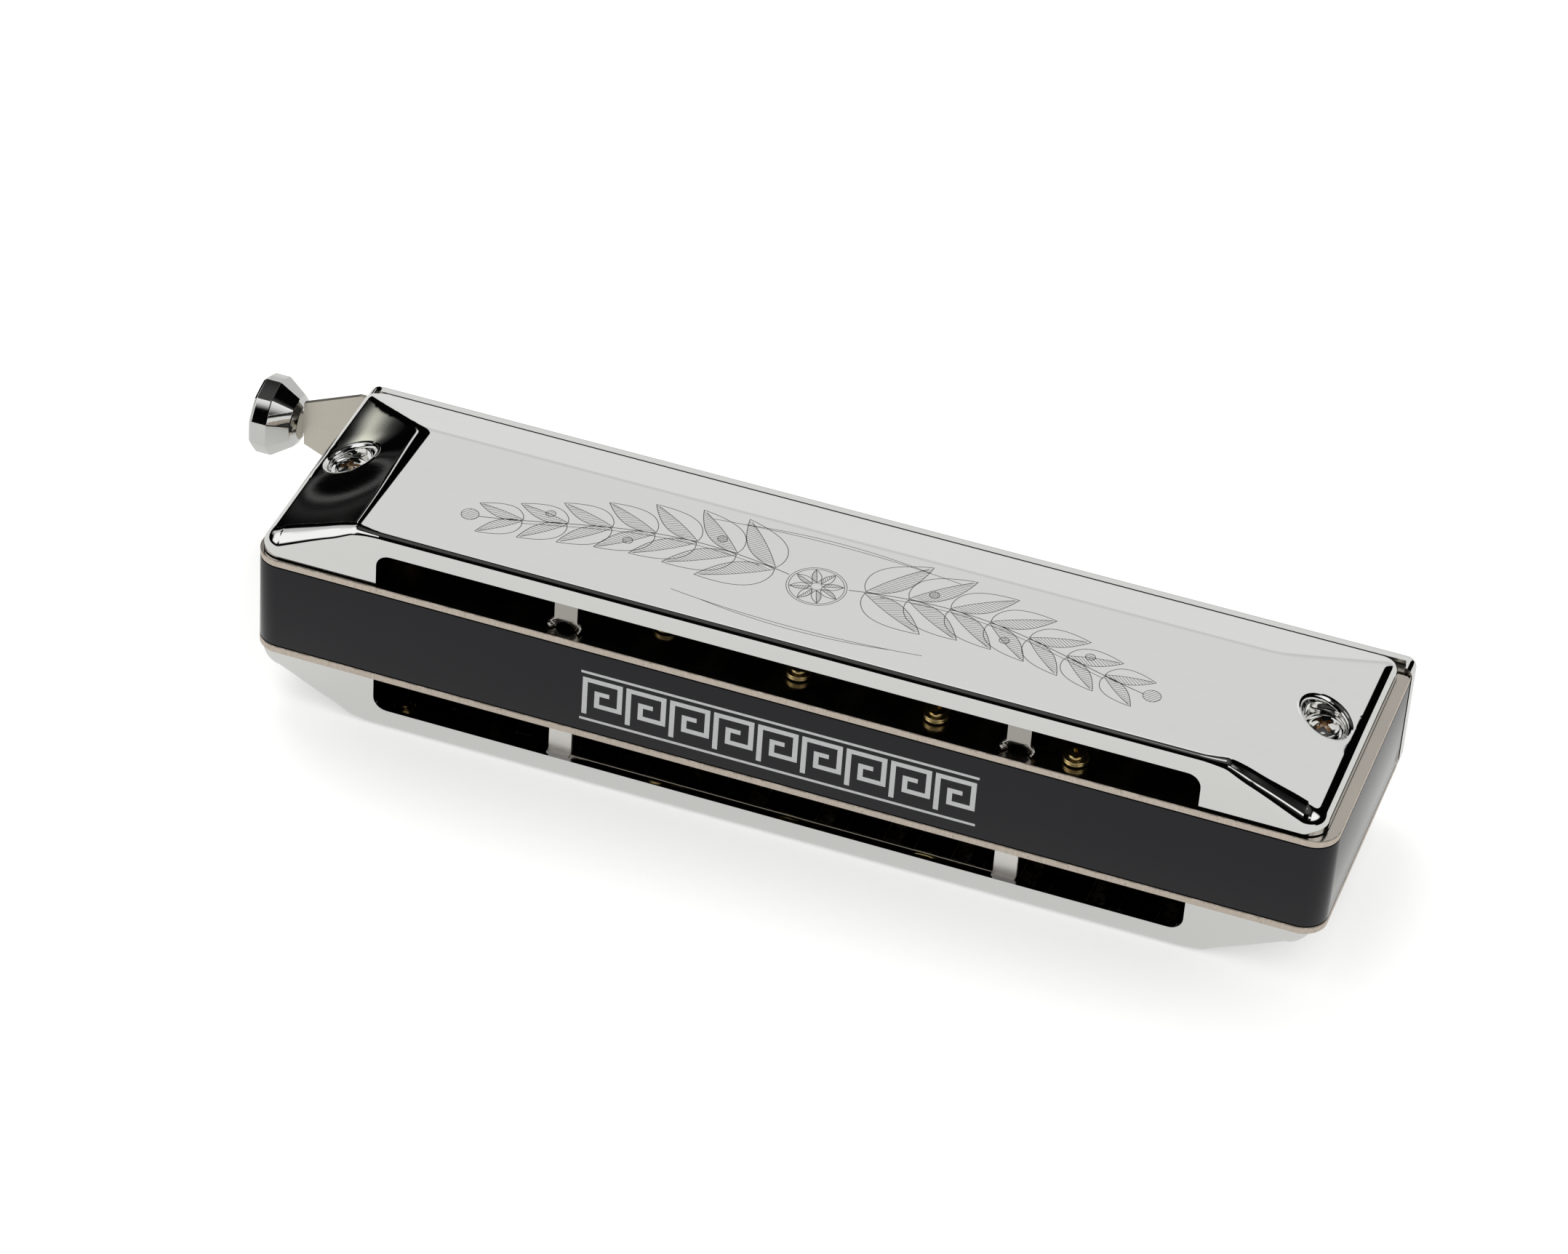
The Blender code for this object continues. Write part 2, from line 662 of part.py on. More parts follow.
def tab_outline(x):
    """A post with two curled feet and an arch between them, seen from behind."""
    half = TAB_WIDTH / 2
    spread = TAB_SPREAD / 2
    right = [
        (half, OPENING_RISE + SHEET),
        (half, ARCH_RADIUS * 1.15),
        (spread - ARCH_RADIUS * 0.08, ARCH_RADIUS * 0.85),
        (spread, ARCH_RADIUS * 0.55),
        (spread - ARCH_RADIUS * 0.23, ARCH_RADIUS * 0.25),
        (ARCH_RADIUS * 1.23, 0.0),
    ]
    arch = [
        (ARCH_RADIUS * math.cos(a), 0.85 * ARCH_RADIUS * math.sin(a))
        for a in (math.pi * k / 8 for k in range(9))
    ]
    left = [(-u, v) for u, v in reversed(right)]
    return [(x + u, v) for u, v in right + arch + left]


def on_side(bm, side):
    """Sets cover coordinates, with z = 0 at the foot, on the upper (1) or lower (-1) plate."""
    bm.transform(Matrix.Diagonal((1.0, 1.0, side, 1.0)) @ Matrix.Translation((0, 0, COVER_FOOT)))
    return bm


def dishes(grow):
    """The round dishes for the cover screws, as solids that reach above the cover, grown by a wall."""
    bm = bmesh.new()
    profile = [(DISH_FLOOR_RADIUS + grow, DISH_FLOOR - grow)]
    widening = DISH_RADIUS - DISH_FLOOR_RADIUS
    for k in range(1, FILLET_STEPS + 1):
        a = 0.5 * math.pi * k / FILLET_STEPS
        radius = DISH_FLOOR_RADIUS + grow + widening * math.sin(a)
        profile.append((radius, DISH_FLOOR - grow + DISH_FILLET * (1 - math.cos(a))))
    profile.append((DISH_RADIUS + grow, COVER_RISE + OVERCUT))
    for centre in cover_screw_places():
        turned(bm, profile, centre, sides=DISH_SIDES)
    return bm


def make_cover(name, side):
    hollow = add_object(f"{name}_hollow", on_side(cover_form(COVER_FILLET - SHEET, -OVERCUT), side))
    boolean(hollow, add_object(f"{name}_cups", on_side(dishes(SHEET), side)))

    cover = add_object(name, on_side(cover_form(COVER_FILLET, 0.0), side), CHROME)
    boolean(cover, hollow)

    openings = dishes(0.0)
    arches = (0.0, 0.0, OPENING_CORNER, OPENING_CORNER)
    bay = rounded(OPENING_LEFT, OPENING_RIGHT, -OVERCUT, OPENING_RISE, arches)
    prism(openings, bay, COVER_REAR - OVERCUT, COVER_REAR + 2 * SHEET, "Y")
    boolean(cover, add_object(f"{name}_openings", on_side(openings, side)))

    holes = bmesh.new()
    drilled(holes, cover_screw_places(), SCREW_HOLE, DISH_FLOOR - 2 * SHEET, DISH_FLOOR + OVERCUT)
    boolean(cover, add_object(f"{name}_screw_holes", on_side(holes, side)))

    hem = bmesh.new()
    hem_centre = (COVER_REAR + HEM_INSET + HEM_RADIUS, OPENING_RISE + HEM_RADIUS * 0.9)
    hem_low, hem_high = OPENING_LEFT + OPENING_CORNER, OPENING_RIGHT - OPENING_CORNER
    drilled(hem, [hem_centre], HEM_RADIUS, hem_low, hem_high, "X", RIVET_SIDES)
    boolean(cover, add_object(f"{name}_hem", on_side(hem, side)), "UNION")

    tab_front = COVER_REAR + TAB_SETBACK + TAB_SHEET
    for number, x in enumerate(TAB_PLACES):
        tab = bmesh.new()
        prism(tab, tab_outline(x), COVER_REAR + TAB_SETBACK, tab_front, "Y")
        boolean(cover, add_object(f"{name}_tab_{number}", on_side(tab, side)), "UNION")
        shelf = bmesh.new()
        half = TAB_WIDTH / 2 - SHEET / 10
        across = rectangle(x - half, x + half, COVER_REAR + SHEET / 2, tab_front - SHEET / 10)
        low = OPENING_RISE + HEM_RADIUS / 2
        prism(shelf, across, low, low + SHEET)
        boolean(cover, add_object(f"{name}_shelf_{number}", on_side(shelf, side)), "UNION")


def make_cover_fasteners():
    """Pan-head screws in the upper dishes, with their nuts in the lower dishes."""
    head_low = COVER_FOOT + DISH_FLOOR + SEAT
    nut_top = -COVER_FOOT - DISH_FLOOR - SEAT
    nut_low = nut_top - COVER_NUT_HEIGHT
    for (x, y), end in zip(cover_screw_places(), ("left", "right")):
        bm = bmesh.new()
        dome = [
            (SCREW_HEAD_RADIUS * math.cos(a), head_low + SCREW_HEAD * (0.5 + 0.5 * math.sin(a)))
            for a in (math.radians(70.0) * k / FILLET_STEPS for k in range(FILLET_STEPS + 1))
        ]
        profile = [(SCREW_RADIUS, nut_low), (SCREW_RADIUS, head_low), (SCREW_HEAD_RADIUS, head_low)]
        turned(bm, profile + dome, (x, y), sides=DISH_SIDES)
        screw = add_object(f"cover_screw_{end}", bm, STEEL)
        cross = bmesh.new()
        long, short = CROSS_LENGTH / 2, CROSS_WIDTH / 2
        corners = [(long, short), (short, short), (short, long)]
        outline = []
        for turn in range(4):
            spin = Matrix.Rotation(turn * math.pi / 2, 2)
            outline += [tuple(Vector((x, y)) + spin @ Vector(corner)) for corner in corners]
        top = head_low + SCREW_HEAD
        prism(cross, outline, top - CROSS_DEPTH, top + OVERCUT)
        boolean(screw, add_object(f"cover_screw_cross_{end}", cross))

        bm = bmesh.new()
        inner = SCREW_HOLE
        profile = [
            (inner, nut_low),
            (COVER_NUT_RADIUS, nut_low),
            (COVER_NUT_RADIUS, nut_top),
            (inner, nut_top),
        ]
        turned(bm, profile, (x, y), sides=DISH_SIDES, ring=True)
        add_object(f"cover_nut_{end}", bm, STEEL)


def make_back_plate():
    """The bed that the slide runs on, with the wind ways and a slot for the spring's leg."""
    bm = bmesh.new()
    across = rectangle(
        -CAGE_HALF_LENGTH, CAGE_HALF_LENGTH, -SLIDE_HALF_HEIGHT, SLIDE_HALF_HEIGHT
    )
    prism(bm, across, BACK_PLATE_Y, BACK_PLATE_Y + BACK_PLATE, "Y")
    plate = add_object("slide_back_plate", bm, NICKEL)
    ways = bmesh.new()
    low, high = BACK_PLATE_Y - OVERCUT, BACK_PLATE_Y + BACK_PLATE + OVERCUT
    windows(ways, low, high)
    drilled(ways, mouth_screw_places(), MOUTH_SCREW_HOLE, low, high, "Y")
    reach = TRAVEL / 2 + 2 * WIRE_RADIUS + HOLE_CLEARANCE
    half = WIRE_RADIUS + HOLE_CLEARANCE
    prism(ways, rectangle(SPRING_X - reach, SPRING_X + reach, -half, half), low, high, "Y")
    boolean(plate, add_object("back_plate_ways", ways))


def make_cage():
    """The channel that holds the slide against its bed, open towards the comb."""
    bm = bmesh.new()
    rear = BACK_PLATE_Y + SEAT / 2
    front = CAGE_Y + CAGE_FRONT
    outline = [
        (rear, -CAGE_OUTER),
        (front, -CAGE_OUTER),
        (front, CAGE_OUTER),
        (rear, CAGE_OUTER),
        (rear, CAGE_INNER),
        (CAGE_Y, CAGE_INNER),
        (CAGE_Y, -CAGE_INNER),
        (rear, -CAGE_INNER),
    ]
    prism(bm, outline, -CAGE_HALF_LENGTH, CAGE_HALF_LENGTH, "X")
    cage = add_object("slide_cage", bm, NICKEL)
    ways = bmesh.new()
    low, high = CAGE_Y - OVERCUT / 2, front + OVERCUT
    windows(ways, low, high)
    drilled(ways, mouth_screw_places(), MOUTH_SCREW_HOLE, low, high, "Y")
    boolean(cage, add_object("cage_ways", ways))


def make_slide():
    """The valve sheet: its upper windows are open at rest and its lower ones when it is pressed.

    It widens from the button to the cage. A slot and a notch let it pass the mouthpiece screws.
    """
    bm = bmesh.new()
    h = SLIDE_HALF_HEIGHT
    outline = [
        (SLIDE_RIGHT_END, -h),
        (SLIDE_RIGHT_END, h),
        (ARM_SHOULDER, h),
        (ARM_END, ARM_HALF_HEIGHT),
        (ARM_END, TONGUE_HALF_HEIGHT),
        (ARM_END - TONGUE_LENGTH, TONGUE_HALF_HEIGHT),
        (ARM_END - TONGUE_LENGTH, -TONGUE_HALF_HEIGHT),
        (ARM_END, -TONGUE_HALF_HEIGHT),
        (ARM_END, -ARM_HALF_HEIGHT),
        (ARM_SHOULDER, -h),
    ]
    prism(bm, outline, SLIDE_Y, SLIDE_Y + SLIDE_THICKNESS, "Y")
    slide = add_object("slide", bm, NICKEL, slide_frame)

    ways = bmesh.new()
    low, high = SLIDE_Y - OVERCUT, SLIDE_Y + SLIDE_THICKNESS + OVERCUT
    windows(ways, low, high, -TRAVEL)
    r = MOUTH_SCREW_HOLE
    ends = (r, r, r, r)
    slot_left = -MOUTH_SCREW_X - TRAVEL - r
    prism(ways, rounded(slot_left, -MOUTH_SCREW_X + r, -r, r, ends), low, high, "Y")
    notch_left = MOUTH_SCREW_X - TRAVEL - r
    notch = rounded(notch_left, SLIDE_RIGHT_END + OVERCUT, -r, r, (r, 0.0, 0.0, r))
    prism(ways, notch, low, high, "Y")
    leg_x = SPRING_X - TRAVEL / 2
    half = WIRE_RADIUS + HOLE_CLEARANCE
    leg_hole = rectangle(leg_x - half, leg_x + half, -half, half)
    prism(ways, leg_hole, low, high, "Y")
    boolean(slide, add_object("slide_ways", ways, parent=slide_frame))


def make_mouthpiece():
    """A shallow box of sheet over the slide works, with a raised rail that carries the holes."""
    rear = COMB_DEPTH + MOUTH_END_SETBACK
    corner = (MOUTH_CORNER,) * 4
    bm = bmesh.new()
    across = rounded(-MOUTH_HALF_LENGTH, MOUTH_HALF_LENGTH, -MOUTH_OUTER, MOUTH_OUTER, corner)
    prism(bm, across, rear, MOUTH_FRONT_Y, "Y")
    round_front(bm, MOUTH_FRONT_Y, MOUTH_FILLET)
    mouthpiece = add_object("mouthpiece", bm, CHROME)

    centres = hole_centres()
    left, right = centres[0] - RAIL_OVERHANG, centres[-1] + RAIL_OVERHANG
    bm = bmesh.new()
    pill = rounded(left, right, -RAIL_HALF_HEIGHT, RAIL_HALF_HEIGHT, (RAIL_HALF_HEIGHT,) * 4, 8)
    rail_front = MOUTH_FRONT_Y + RAIL_RISE
    prism(bm, pill, MOUTH_FRONT_Y - MOUTH_SHEET / 2, rail_front, "Y")
    round_front(bm, rail_front, RAIL_FILLET)
    boolean(mouthpiece, add_object("mouth_rail", bm), "UNION")

    inside = bmesh.new()
    half_length = CAGE_HALF_LENGTH + SEAT
    prism(
        inside,
        rectangle(-half_length, half_length, -MOUTH_INNER, MOUTH_INNER),
        rear - OVERCUT,
        MOUTH_INNER_Y,
        "Y",
    )
    boolean(mouthpiece, add_object("mouth_inside", inside))

    relief = bmesh.new()
    lip_length = half_length - LIP_END_MARGIN
    across = rectangle(-lip_length, lip_length, -MOUTH_OUTER - OVERCUT, MOUTH_OUTER + OVERCUT)
    prism(relief, across, rear - OVERCUT, MOUTH_FRONT_Y - LIP_DEPTH, "Y")
    arm_way = rectangle(
        -MOUTH_HALF_LENGTH - OVERCUT, -lip_length - SEAT, -CAGE_INNER, CAGE_INNER
    )
    prism(relief, arm_way, rear - OVERCUT, CAGE_Y, "Y")
    boolean(mouthpiece, add_object("mouth_relief", relief))

    holes = bmesh.new()
    r = MOUTH_HOLE_RADIUS
    profile = [
        (r, MOUTH_INNER_Y - OVERCUT),
        (r, rail_front - MOUTH_HOLE_FLARE),
        (r + MOUTH_HOLE_FLARE, rail_front),
        (r + MOUTH_HOLE_FLARE, rail_front + OVERCUT),
    ]
    for x in centres:
        turned(holes, profile, (x, 0.0), "Y", HOLE_SIDES)
    low, high = MOUTH_INNER_Y - OVERCUT, MOUTH_FRONT_Y + OVERCUT
    drilled(holes, mouth_screw_places(), MOUTH_SCREW_HOLE, low, high, "Y")
    boolean(mouthpiece, add_object("mouth_holes", holes))


def round_front(bm, y, radius):
    """Rounds the edges round the face that lies at y."""
    edges = [edge for edge in bm.edges if all(abs(v.co.y - y) < SEAT / 10 for v in edge.verts)]
    bmesh.ops.bevel(bm, geom=edges, offset=radius, segments=3, profile=0.5, affect="EDGES")


def make_mouth_screws():
    """Domed screws that hold the mouthpiece, cage and back plate to the comb."""
    head_low = MOUTH_FRONT_Y + SEAT
    tip = head_low - MOUTH_SCREW_LENGTH + HOLE_CLEARANCE
    for (x, z), end in zip(mouth_screw_places(), ("left", "right")):
        bm = bmesh.new()
        profile = [
            (MOUTH_SCREW_RADIUS, tip),
            (MOUTH_SCREW_RADIUS, head_low),
            (MOUTH_HEAD_RADIUS, head_low),
            (MOUTH_HEAD_RADIUS, head_low + MOUTH_HEAD * 0.4),
            (MOUTH_HEAD_RADIUS * 0.85, head_low + MOUTH_HEAD * 0.8),
            (MOUTH_HEAD_RADIUS * 0.45, head_low + MOUTH_HEAD),
        ]
        turned(bm, profile, (x, z), "Y", SMALL_SIDES)
        screw = add_object(f"mouthpiece_screw_{end}", bm, STEEL)
        slot = bmesh.new()
        half = BOLT_SLOT_WIDTH / 2
        top = head_low + MOUTH_HEAD
        across = rectangle(x - MOUTH_HEAD_RADIUS, x + MOUTH_HEAD_RADIUS, -half, half)
        prism(slot, across, top - BOLT_SLOT_DEPTH, top + OVERCUT, "Y")
        boolean(screw, add_object(f"mouthpiece_screw_slot_{end}", slot))


def make_button():
    """A faceted knob that flares from a neck to a rim, pushed onto the slide's tongue."""
    middle = (SLIDE_Y + SLIDE_THICKNESS / 2, 0.0)
    steps = (
        (BUTTON_NECK_RADIUS, 0.0),
        (BUTTON_WAIST_RADIUS, BUTTON_NECK),
        (BUTTON_RIM_RADIUS, BUTTON_CONE),
        (BUTTON_RIM_RADIUS, BUTTON_RIM),
        (BUTTON_FACE_RADIUS, BUTTON_EDGE),
    )
    profile = []
    x = ARM_END - SEAT
    for radius, length in steps:
        x -= length
        profile.append((radius, x))
    bm = bmesh.new()
    turned(bm, profile, middle, "X", BUTTON_SIDES, BUTTON_PHASE)
    button = add_object("button", bm, CHROME, slide_frame)
    socket = bmesh.new()
    tongue = rectangle(
        SLIDE_Y - SEAT,
        SLIDE_Y + SLIDE_THICKNESS + SEAT,
        -TONGUE_HALF_HEIGHT - SEAT,
        TONGUE_HALF_HEIGHT + SEAT,
    )
    prism(socket, tongue, ARM_END - TONGUE_LENGTH - SEAT, ARM_END + OVERCUT, "X")
    boolean(button, add_object("button_socket", socket, parent=slide_frame))


def spring_path():
    """One leg against the pocket's wall, the coil round the pin, and one leg into the slide."""
    centre = Vector((SPRING_X, SPRING_Y, 0.0))
    tip = Vector((SPRING_X - TRAVEL / 2, SLIDE_Y + SLIDE_THICKNESS * 0.6, 0.0))
    leg = (tip - centre).length
    turn_off = math.acos(COIL_RADIUS / leg)
    leave = math.atan2(tip.y - centre.y, tip.x - centre.x) + turn_off
    top = COIL_TURNS * COIL_PITCH / 2
    steps = COIL_TURNS * 12
    start = leave - math.tau * COIL_TURNS - math.radians(75.0)
    coil = []
    for k in range(steps + 1):
        share = k / steps
        a = start + (leave - start) * share
        offset = Vector((COIL_RADIUS * math.cos(a), COIL_RADIUS * math.sin(a), top * (1 - 2 * share)))
        coil.append(centre + offset)
    first = coil[0]
    away = Vector((math.sin(start), -math.cos(start), 0.0))
    reach = (first.x - POCKET_LEFT - 2 * WIRE_RADIUS - SEAT) / max(-away.x, 0.2)
    anchor = first + away * min(reach, 2 * COIL_RADIUS)
    last = coil[-1]
    lifted = last.lerp(tip, 0.7)
    lifted.z = 0.0
    return [anchor, *coil, lifted, tip]


def make_spring():
    curve = bpy.data.curves.new("slide_spring", "CURVE")
    curve.dimensions = "3D"
    curve.bevel_depth = WIRE_RADIUS
    curve.bevel_resolution = 1
    curve.use_fill_caps = True
    points = spring_path()
    spline = curve.splines.new("POLY")
    spline.points.add(len(points) - 1)
    for point, place in zip(spline.points, points):
        point.co = (*place, 1.0)
    curve.materials.append(STEEL)
    spring = bpy.data.objects.new("slide_spring", curve)
    spring.parent = body_frame
    bpy.context.collection.objects.link(spring)

    bm = bmesh.new()
    half_height = COMB_HEIGHT / 2 - SEAT
    drilled(bm, [(SPRING_X, SPRING_Y)], PIN_RADIUS, -half_height, half_height)
    add_object("spring_pin", bm, STEEL)


make_comb()
make_reed_plate("top_reed_plate", 1)
make_reed_plate("bottom_reed_plate", -1)
make_plate_bolts()
make_cover("top_cover", 1)
make_cover("bottom_cover", -1)
make_cover_fasteners()
make_back_plate()
make_slide()
make_cage()
make_mouthpiece()
make_mouth_screws()
make_button()
make_spring()
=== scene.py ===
"""Chromatic harmonica: finished covers, comb, mouthpiece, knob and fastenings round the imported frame.

Shapes are worked out in "comb space": metres, with x from the middle of the comb, y from its rear
face and z from half way up it. Meshes are moved to the frame's place when they are made.
"""

import math

import bmesh
import bpy
import numpy as np
from mathutils import Matrix, Vector


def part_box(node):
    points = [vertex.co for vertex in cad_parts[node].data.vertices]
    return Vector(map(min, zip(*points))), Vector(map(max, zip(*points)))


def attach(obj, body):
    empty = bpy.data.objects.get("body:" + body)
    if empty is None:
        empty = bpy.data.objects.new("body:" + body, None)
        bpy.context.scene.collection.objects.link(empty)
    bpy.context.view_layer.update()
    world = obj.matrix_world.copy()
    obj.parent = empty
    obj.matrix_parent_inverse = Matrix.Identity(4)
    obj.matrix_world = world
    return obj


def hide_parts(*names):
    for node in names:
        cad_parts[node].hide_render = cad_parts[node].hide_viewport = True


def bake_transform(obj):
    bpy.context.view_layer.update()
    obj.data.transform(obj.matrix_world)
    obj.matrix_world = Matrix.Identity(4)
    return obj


bl_info = {
    "name": "Chromatic harmonica",
    "version": (1, 0, 0),
    "blender": (4, 5, 0),
    "location": "View3D > Sidebar > Harmonica",
    "description": "Builds the finished surfaces of a chromatic harmonica round its packed parts",
    "category": "Object",
}

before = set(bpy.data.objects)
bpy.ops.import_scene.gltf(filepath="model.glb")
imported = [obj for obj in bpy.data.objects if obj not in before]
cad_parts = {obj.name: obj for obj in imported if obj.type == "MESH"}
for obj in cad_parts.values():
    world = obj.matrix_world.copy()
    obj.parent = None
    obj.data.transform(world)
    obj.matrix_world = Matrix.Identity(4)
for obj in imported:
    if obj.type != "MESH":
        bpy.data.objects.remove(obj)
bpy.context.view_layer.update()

COMB_LOW, COMB_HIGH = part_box("comb")
ORIGIN = Vector((0.0, COMB_LOW.y, (COMB_LOW.z + COMB_HIGH.z) / 2))


def place_of(node):
    """The middle of a node's box in comb space."""
    low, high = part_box(node)
    return (low + high) / 2 - ORIGIN


def span(node, axis=2):
    """Where a node's box starts and ends along an axis of comb space."""
    low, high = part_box(node)
    return low[axis] - ORIGIN[axis], high[axis] - ORIGIN[axis]


# SEAT is the gap between pieces that rest on each other, and PLATE the thickness of a reed plate.
SEAT = 0.0002
PLATE = 0.00096
HOLE_PITCH = 0.00893
HOLE_SHIFT = 0.0005
HALF_COMB = (COMB_HIGH.z - COMB_LOW.z) / 2
PLATE_TOP = HALF_COMB + SEAT + PLATE
COVER_FOOT = PLATE_TOP + SEAT
COVER_LOW, COVER_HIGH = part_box("top_cover")
COVER_RISE = COVER_HIGH.z - ORIGIN.z - COVER_FOOT
COVER_CENTRE_X = (COVER_LOW.x + COVER_HIGH.x) / 2
COVER_HALF_LENGTH = (COVER_HIGH.x - COVER_LOW.x) / 2
COVER_REAR, COVER_FRONT = span("top_cover", 1)
COVER_MIDDLE = np.array([COVER_CENTRE_X, (COVER_FRONT + COVER_REAR) / 2])
COVER_HALF_DEPTH = (COVER_FRONT - COVER_REAR) / 2


# ---------------------------------------------------------------- sizes a user may change


def length(name, text, value):
    """A property that holds a length in metres."""
    return bpy.props.FloatProperty(name=name, description=text, default=value, unit="LENGTH", precision=5)


def swatch(name, text, value):
    """A property that holds a colour."""
    return bpy.props.FloatVectorProperty(
        name=name, description=text, subtype="COLOR", size=3, default=value, min=0.0, max=1.0
    )


class HarmonicaCoverSizes(bpy.types.PropertyGroup):
    """Sizes of the two stamped covers."""

    sheet: length("Sheet", "Thickness of the cover sheet", 0.0006)
    fillet: length("Edge radius", "Radius of the edge between the top and the walls", 0.0008)
    rear_fillet: length("Rear end radius", "Radius of the rear edge where the top slopes to its ends", 0.0025)
    end_fillet: length("End radius", "Radius of the edge between the top and the end walls", 0.0015)
    corner: length("Corner radius", "Radius of the four corners in plan", 0.0028)
    dish_radius: length("Dish radius", "Radius of the round dishes for the cover screws", 0.0032)
    hem: length("Hem", "Width of the hem along the rear opening between the tabs", 0.0010)
    crease: length("Crease softness", "How far the creases of the stamping are blended", 0.00028)


class HarmonicaOrnamentSizes(bpy.types.PropertyGroup):
    """Sizes of the engraved spray and of the printed border."""

    line: length("Line", "Width of an engraved line", 0.00009)
    hatch: length("Hatch", "Distance between two hatch lines", 0.00042)
    reach: length("Reach", "Half the length of the engraved spray", 0.0425)
    border_height: length("Border height", "Height of the printed key border", 0.0050)
    border_length: length("Border length", "Length of the printed key border", 0.0510)


class HarmonicaFinishes(bpy.types.PropertyGroup):
    """Colours of the metals and of the comb."""

    chrome: swatch("Chrome", "Tint of the chrome plate", (0.80, 0.80, 0.785))
    nickel: swatch("Nickel", "Tint of the cut nickel silver", (0.66, 0.58, 0.50))
    brass: swatch("Brass", "Tint of the turned brass", (0.84, 0.66, 0.32))
    comb: swatch("Comb", "Colour of the comb's black coating", (0.006, 0.006, 0.008))


class HarmonicaStageSettings(bpy.types.PropertyGroup):
    """Studio round the instrument."""

    light: bpy.props.FloatProperty(
        name="Light", description="Strength of the world as diffuse light", default=0.85, min=0.0
    )
    lens: bpy.props.FloatProperty(
        name="Lens", description="Focal length of the camera in millimetres", default=136.79, min=1.0
    )


# ---------------------------------------------------------------- shader maths


class Value:
    """A shader socket that takes part in Python expressions. Each operation adds a Math node."""

    def __init__(self, graph, socket):
        self.graph = graph
        self.socket = socket

    def math(self, operation, *others):
        return self.graph.add("ShaderNodeMath", {"operation": operation}, [self, *others])

    def __add__(self, other):
        return self.math("ADD", other)

    __radd__ = __add__

    def __sub__(self, other):
        return self.math("SUBTRACT", other)

    def __rsub__(self, other):
        return self.graph.add("ShaderNodeMath", {"operation": "SUBTRACT"}, [other, self])

    def __mul__(self, other):
        return self.math("MULTIPLY", other)

    __rmul__ = __mul__

    def __truediv__(self, other):
        return self.math("DIVIDE", other)

    def size(self):
        return self.math("ABSOLUTE")

    def most(self, other):
        return self.math("MAXIMUM", other)

    def rise(self, low, high):
        """0 below low, 1 above high and a smooth step between them."""
        inputs = {"Value": self, "From Min": low, "From Max": high}
        return self.graph.add("ShaderNodeMapRange", {"interpolation_type": "SMOOTHSTEP"}, inputs)

    def fall(self, low, high):
        """1 below low, 0 above high and a smooth step between them."""
        return 1.0 - self.rise(low, high)

    def between(self, low, high, soft):
        """1 from low to high, with soft edges of the given half width."""
        return self.rise(low - soft, low + soft) * self.fall(high - soft, high + soft)


class Graph:
    """A node tree with one method for every node."""

    def __init__(self, tree):
        self.tree = tree
        tree.nodes.clear()

    def add(self, kind, settings=None, inputs=(), output=0):
        """A node of a kind. Its settings are made first, then its sockets get their values or links.

        output names the socket that is given back, or a tuple of them.
        """
        node = self.tree.nodes.new(kind)
        for key, value in (settings or {}).items():
            setattr(node, key, value)
        pairs = inputs.items() if isinstance(inputs, dict) else enumerate(inputs)
        for key, value in pairs:
            socket = node.inputs[key]
            if isinstance(value, Value):
                self.tree.links.new(value.socket, socket)
            else:
                socket.default_value = (*value, 1.0) if socket.type == "RGBA" else value
        if isinstance(output, tuple):
            return [Value(self, node.outputs[key]) for key in output]
        return Value(self, node.outputs[output]) if len(node.outputs) else None

    def place(self):
        """Object coordinates as a vector."""
        return self.add("ShaderNodeTexCoord", output="Object")

    def parts(self, vector):
        """The x, y and z of a vector."""
        return self.add("ShaderNodeSeparateXYZ", {}, [vector], ("X", "Y", "Z"))

    def ray(self):
        """1 for what the camera sees directly, and 1 for what a mirror sees."""
        return self.add("ShaderNodeLightPath", output=("Is Camera Ray", "Is Glossy Ray"))

    def noise(self, vector, scale, detail=3.0, roughness=0.5):
        """Cloudy values round 0.5, with the same scale along each axis."""
        inputs = {"Vector": vector, "Scale": scale, "Detail": detail, "Roughness": roughness}
        return self.add("ShaderNodeTexNoise", {}, inputs, "Fac")

    def grain(self, vector, scale, detail=3.0, roughness=0.5):
        """Noise with its own scale along each axis, for grain that runs one way."""
        stretched = self.add("ShaderNodeMapping", {}, {"Vector": vector, "Scale": scale})
        return self.noise(stretched, 1.0, detail, roughness)

    def mix(self, factor, first, second):
        """A colour between two colours, which go into sockets 6 and 7. Output 2 is the colour."""
        return self.add("ShaderNodeMix", {"data_type": "RGBA"}, {0: factor, 6: first, 7: second}, 2)

    def bump(self, height, strength, distance):
        """A normal that follows a height."""
        return self.add("ShaderNodeBump", {}, {"Strength": strength, "Distance": distance, "Height": height})

    def surface(self, colour, roughness, metallic=1.0, **others):
        """The shader of a metal, or of a coating where metallic is 0."""
        inputs = {"Base Color": colour, "Metallic": metallic, "Roughness": roughness, **others}
        return self.add("ShaderNodeBsdfPrincipled", {}, inputs)

    def glow(self, colour, strength):
        """A shader that shines."""
        return self.add("ShaderNodeEmission", {}, {"Color": colour, "Strength": strength})


def new_material(name, build, *values):
    """A material whose graph is made by build(graph, *values), which gives back its shader."""
    material = bpy.data.materials.new(name)
    material.use_nodes = True
    graph = Graph(material.node_tree)
    graph.add("ShaderNodeOutputMaterial", {}, [build(graph, *values)])
    return material


def scaled(tint, factor):
    """A tint made darker or lighter."""
    return tuple(min(1.0, factor * c) for c in tint)


